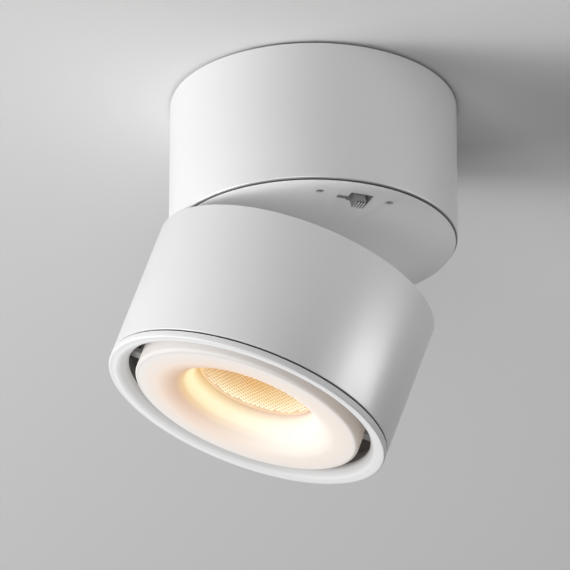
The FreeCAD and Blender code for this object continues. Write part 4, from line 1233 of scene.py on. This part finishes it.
    def build_disc(self) -> None:
        """Turns the white disc: wall, rounded rim, face and bell mouth."""
        rim_middle = (self.disc_radius - self.rim_round, self.face + self.rim_round)
        bell_middle = (self.mouth, self.face + self.bell)
        throat = self.mouth - self.bell
        wall = self.disc_wall
        disc = turned("lamp_disc", [
            (self.disc_radius, self.disc_back),
            *arc(rim_middle, self.rim_round, OUTWARDS, DOWNWARDS, ROUND_STRIPS),
            *arc(bell_middle, self.bell, DOWNWARDS, INWARDS, BELL_STRIPS),
            (throat, self.disc_throat_end),
            (throat + wall, self.disc_throat_end),
            *arc(bell_middle, self.bell - wall, INWARDS, DOWNWARDS, BACK_STRIPS),
            (self.disc_radius - wall, self.face + wall),
            (self.disc_radius - wall, self.disc_back),
            (self.disc_radius, self.disc_back),
        ])
        HEAD.place(disc)
        # The disc's white carries the lamp's warm light as painted light, and painted shade on its rounded
        # rim
        self.dress(disc, DISC_PAINTED_LIGHT_AND_SHADE, "disc_white", "inner_disc")

    def build_lens(self) -> None:
        """Makes the lens and the honeycomb of small domes on its face."""
        band_in, band_out = self.band
        low, crown = self.lens_face, self.band_crown
        lens = capped("lens_disc", [
            (self.lens_radius, self.lens_back),
            (self.lens_radius, low + self.lens_shoulder),
            (band_out, low + self.lens_shoulder / 2),
            (band_out - crown * 2, low + crown),
            ((band_in + band_out) / 2, low),
            (band_in + crown, low + crown),
            (band_in - crown, low + self.face_deep),
        ], LENS_SIDES)
        HEAD.place(lens)
        self.dress(lens, LENS, "lens_clear", "lens")
        cells = self.honeycomb()
        HEAD.place(cells)
        # The domes' glow carries a painted highlight where they face the viewer
        self.dress(cells, LENS_CELL_AND_PAINTED_HIGHLIGHT, "lens_clear")

    def honeycomb(self) -> Piece:
        """Makes one dome, repeats it in rows and deletes each that has an edge out of reach.

        Returns:
            The domes as one piece in the head's upright frame.
        """
        deselect()
        radius = self.cell_pitch / math.sqrt(3) * self.cell_fill
        level = self.lens_face + self.face_deep + self.cell_root
        bpy.ops.mesh.primitive_circle_add(
            vertices=CELL_SIDES, radius=radius * MM, fill_type="NGON", location=(0, 0, level * MM)
        )
        cell = take_new("lens_cells")
        with editing(cell):
            for drop, shrink in self.cell_rings:
                level -= drop
                draw_ring(-drop * MM, shrink, level * MM)
        row_step = self.cell_pitch * math.sqrt(3) / 2
        rows = 2 * math.ceil(self.lens_radius / row_step) + 1
        for count, x, y in ((2 * rows, self.cell_pitch, 0), (rows, self.cell_pitch / 2, row_step)):
            modify(
                cell, "ARRAY", count=count, use_relative_offset=False, use_constant_offset=True,
                constant_offset_displace=(x * MM, y * MM, 0),
            )
        back = -(rows - 1) / 2 * row_step
        left = -(2 * rows - 1 + (rows - 1) / 2) / 2 * self.cell_pitch
        put(cell, (left, back, 0))
        with editing(cell):
            choose(cell, lambda place: place.xy.length > self.cell_reach * MM)
            bpy.ops.mesh.select_linked()
            bpy.ops.mesh.delete(type="VERT")
        face_outwards(cell)
        return cell


# Stage, lights and camera


@dataclass(frozen=True)
class Panel:
    """A soft rectangular light that faces the fixture.

    Its place is given in degrees to the viewer's right, degrees above the fixture and metres away,
    its width and height in metres, and its power in watts.
    """

    name: str
    azimuth: float
    elevation: float
    distance: float
    size: tuple[float, float]
    power: float


# The places are given. The powers come from a fit to the photograph's brightness, then changed

PANELS = (
    Panel("key", -75.0, -30.0, 1.7, (0.9, 0.9), 10.4),
    Panel("hard_key", -80.0, -24.0, 1.5, (0.45, 0.45), 7.2),
    Panel("left_side", -95.0, -30.0, 1.7, (0.9, 0.9), 10.4),
    Panel("front", -15.0, -35.0, 1.7, (0.9, 0.9), 7.8),
    Panel("back", 180.0, -30.0, 1.7, (1.3, 1.0), 5.5),
    Panel("near_strip", 62.0, -8.0, 1.3, (0.5, 0.5), 1.0),
    Panel("strip", 85.0, -4.0, 1.2, (0.7, 0.15), 2.7),
)


@dataclass
class Studio:
    """The pale ceiling, the lights and the camera at the photograph's angle, in metres and degrees."""

    ceiling_colour: Colour = (0.70, 0.70, 0.70)
    ceiling_roughness: float = 0.85
    ceiling_width: float = 6.0
    ceiling_gap: float = 0.0002
    room_light: float = 0.02
    background: Colour = (0.60, 0.60, 0.60)
    lamp_width: float = 0.036
    lamp_drop: float = 0.0423
    lamp_power: float = 0.0055
    lamp_colour: Colour = (1.0, 0.76, 0.42)
    aim: tuple[float, float, float] = (-0.00978, 0.0, -0.06869)
    distance: float = 1.9132
    azimuth: float = 0.3235
    elevation: float = -25.128
    roll: float = -0.066
    lens: float = 351.07
    sensor: float = 36.0
    clip_end: float = 20.0

    def build(self) -> None:
        """Adds the stage, the lights and the camera."""
        self.add_ceiling()
        self.add_world()
        for panel in PANELS:
            self.add_panel(panel)
        self.add_lamp_light()
        self.add_camera()

    def add_ceiling(self) -> None:
        """Adds the ceiling, which is seen from below only."""
        deselect()
        bpy.ops.mesh.primitive_plane_add(size=self.ceiling_width, location=(0, 0, self.ceiling_gap))
        plane = take_new("ceiling")
        with editing(plane):
            bpy.ops.mesh.flip_normals()
        material = bpy.data.materials.new("ceiling_paint")
        material.use_nodes = True
        tree = material.node_tree
        shader = tree.nodes[SHADER]
        feed(tree, shader, {"Base Color": (*self.ceiling_colour, 1.0), "Roughness": self.ceiling_roughness})
        side = add_node(tree, "NewGeometry", {})
        clear = add_node(tree, "BsdfTransparent", {})
        parts = {"Fac": side.outputs["Backfacing"], 1: shader.outputs[0], 2: clear.outputs[0]}
        blend = add_node(tree, "MixShader", parts)
        feed(tree, tree.nodes["Material Output"], {"Surface": blend.outputs["Shader"]})
        plane.data.materials.append(material)

    def add_world(self) -> None:
        """Gives the room a dim, even light and a pale background."""
        world = bpy.data.worlds.new("room")
        bpy.context.scene.world = world
        world.use_nodes = True
        tree = world.node_tree
        room = tree.nodes["Background"]
        feed(tree, room, {"Color": (1.0, 1.0, 1.0, 1.0), "Strength": self.room_light})
        seen = add_node(tree, "Background", {"Color": (*self.background, 1.0)})
        path = add_node(tree, "LightPath", {})
        parts = {"Fac": path.outputs["Is Camera Ray"], 1: room.outputs[0], 2: seen.outputs[0]}
        blend = add_node(tree, "MixShader", parts)
        feed(tree, tree.nodes["World Output"], {"Surface": blend.outputs["Shader"]})

    def around_fixture(self, azimuth: float, elevation: float, distance: float) -> Vector:
        """Finds a place around the fixture.

        Args:
            azimuth: Degrees from the camera's side, with the viewer's right as plus.
            elevation: Degrees above the fixture, so minus is below.
            distance: Metres from the fixture's middle.

        Returns:
            The place in metres.
        """
        side, up = math.radians(azimuth), math.radians(elevation)
        away = Vector((math.sin(side) * math.cos(up), -math.cos(side) * math.cos(up), math.sin(up)))
        return Vector(self.aim) + away * distance

    def hang(self, data: bpy.types.ID, place: Vector, turn: Quaternion) -> bpy.types.Object:
        """Hangs a light or the camera in the scene, itself unseen.

        Args:
            data: The light or the camera.
            place: Where it is.
            turn: Which way it looks.

        Returns:
            The object that holds it.
        """
        holder = bpy.data.objects.new(data.name, data)
        bpy.context.scene.collection.objects.link(holder)
        holder.location = place
        holder.rotation_euler = turn.to_euler()
        holder.visible_camera = False
        return holder

    def add_panel(self, panel: Panel) -> None:
        """Adds one of the panels.

        Args:
            panel: The panel.
        """
        data = bpy.data.lights.new(panel.name, "AREA")
        data.shape = "RECTANGLE"
        data.size, data.size_y = panel.size
        data.energy = panel.power
        place = self.around_fixture(panel.azimuth, panel.elevation, panel.distance)
        self.hang(data, place, (Vector(self.aim) - place).to_track_quat("-Z", "Y"))

    def add_lamp_light(self) -> None:
        """Adds the warm disc of light just under the lens, which moves with the head."""
        data = bpy.data.lights.new("lamp_light", "AREA")
        data.shape = "DISK"
        data.size = self.lamp_width
        data.energy = self.lamp_power
        data.color = self.lamp_colour
        angle = math.radians(HEAD.tilt)
        down = Vector((-math.sin(angle), 0, -math.cos(angle)))
        place = HEAD.top() * MM + down * self.lamp_drop
        lamp = self.hang(data, place, down.to_track_quat("-Z", "Y"))
        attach(lamp, Body.HEAD.value)

    def add_camera(self) -> None:
        """Adds the camera that looks up at the fixture."""
        data = bpy.data.cameras.new("camera")
        data.lens = self.lens
        data.sensor_width = self.sensor
        data.clip_end = self.clip_end
        place = self.around_fixture(self.azimuth, self.elevation, self.distance)
        turn = (Vector(self.aim) - place).to_track_quat("-Z", "Y")
        turn @= Quaternion((0, 0, -1), math.radians(self.roll))
        bpy.context.scene.camera = self.hang(data, place, turn)


# The whole


def dress_nodes() -> None:
    """Gives every carried-over node the finish of its material slot."""
    slots = {part["node"]: part["material_slot"] for part in frame["record"]["subparts"]}
    for name, node in frame["nodes"].items():
        material = SLOT_FINISHES[slots[name]].make()
        if not node.material_slots:
            node.data.materials.append(material)
        for holder in node.material_slots:
            holder.material = material
        LOG.info("%s carries %s", name, material.name)


def main() -> None:
    """Builds the pieces, the finishes and the studio."""
    logging.basicConfig(level=logging.INFO, format="%(name)s: %(message)s")
    dress_nodes()
    BaseDrum().build()
    table = Turntable()
    table.build()
    Selector().build(table)
    LampHead().build()
    Studio().build()
    bpy.context.scene.view_settings.view_transform = "Standard"


if __name__ == "__main__":
    main()
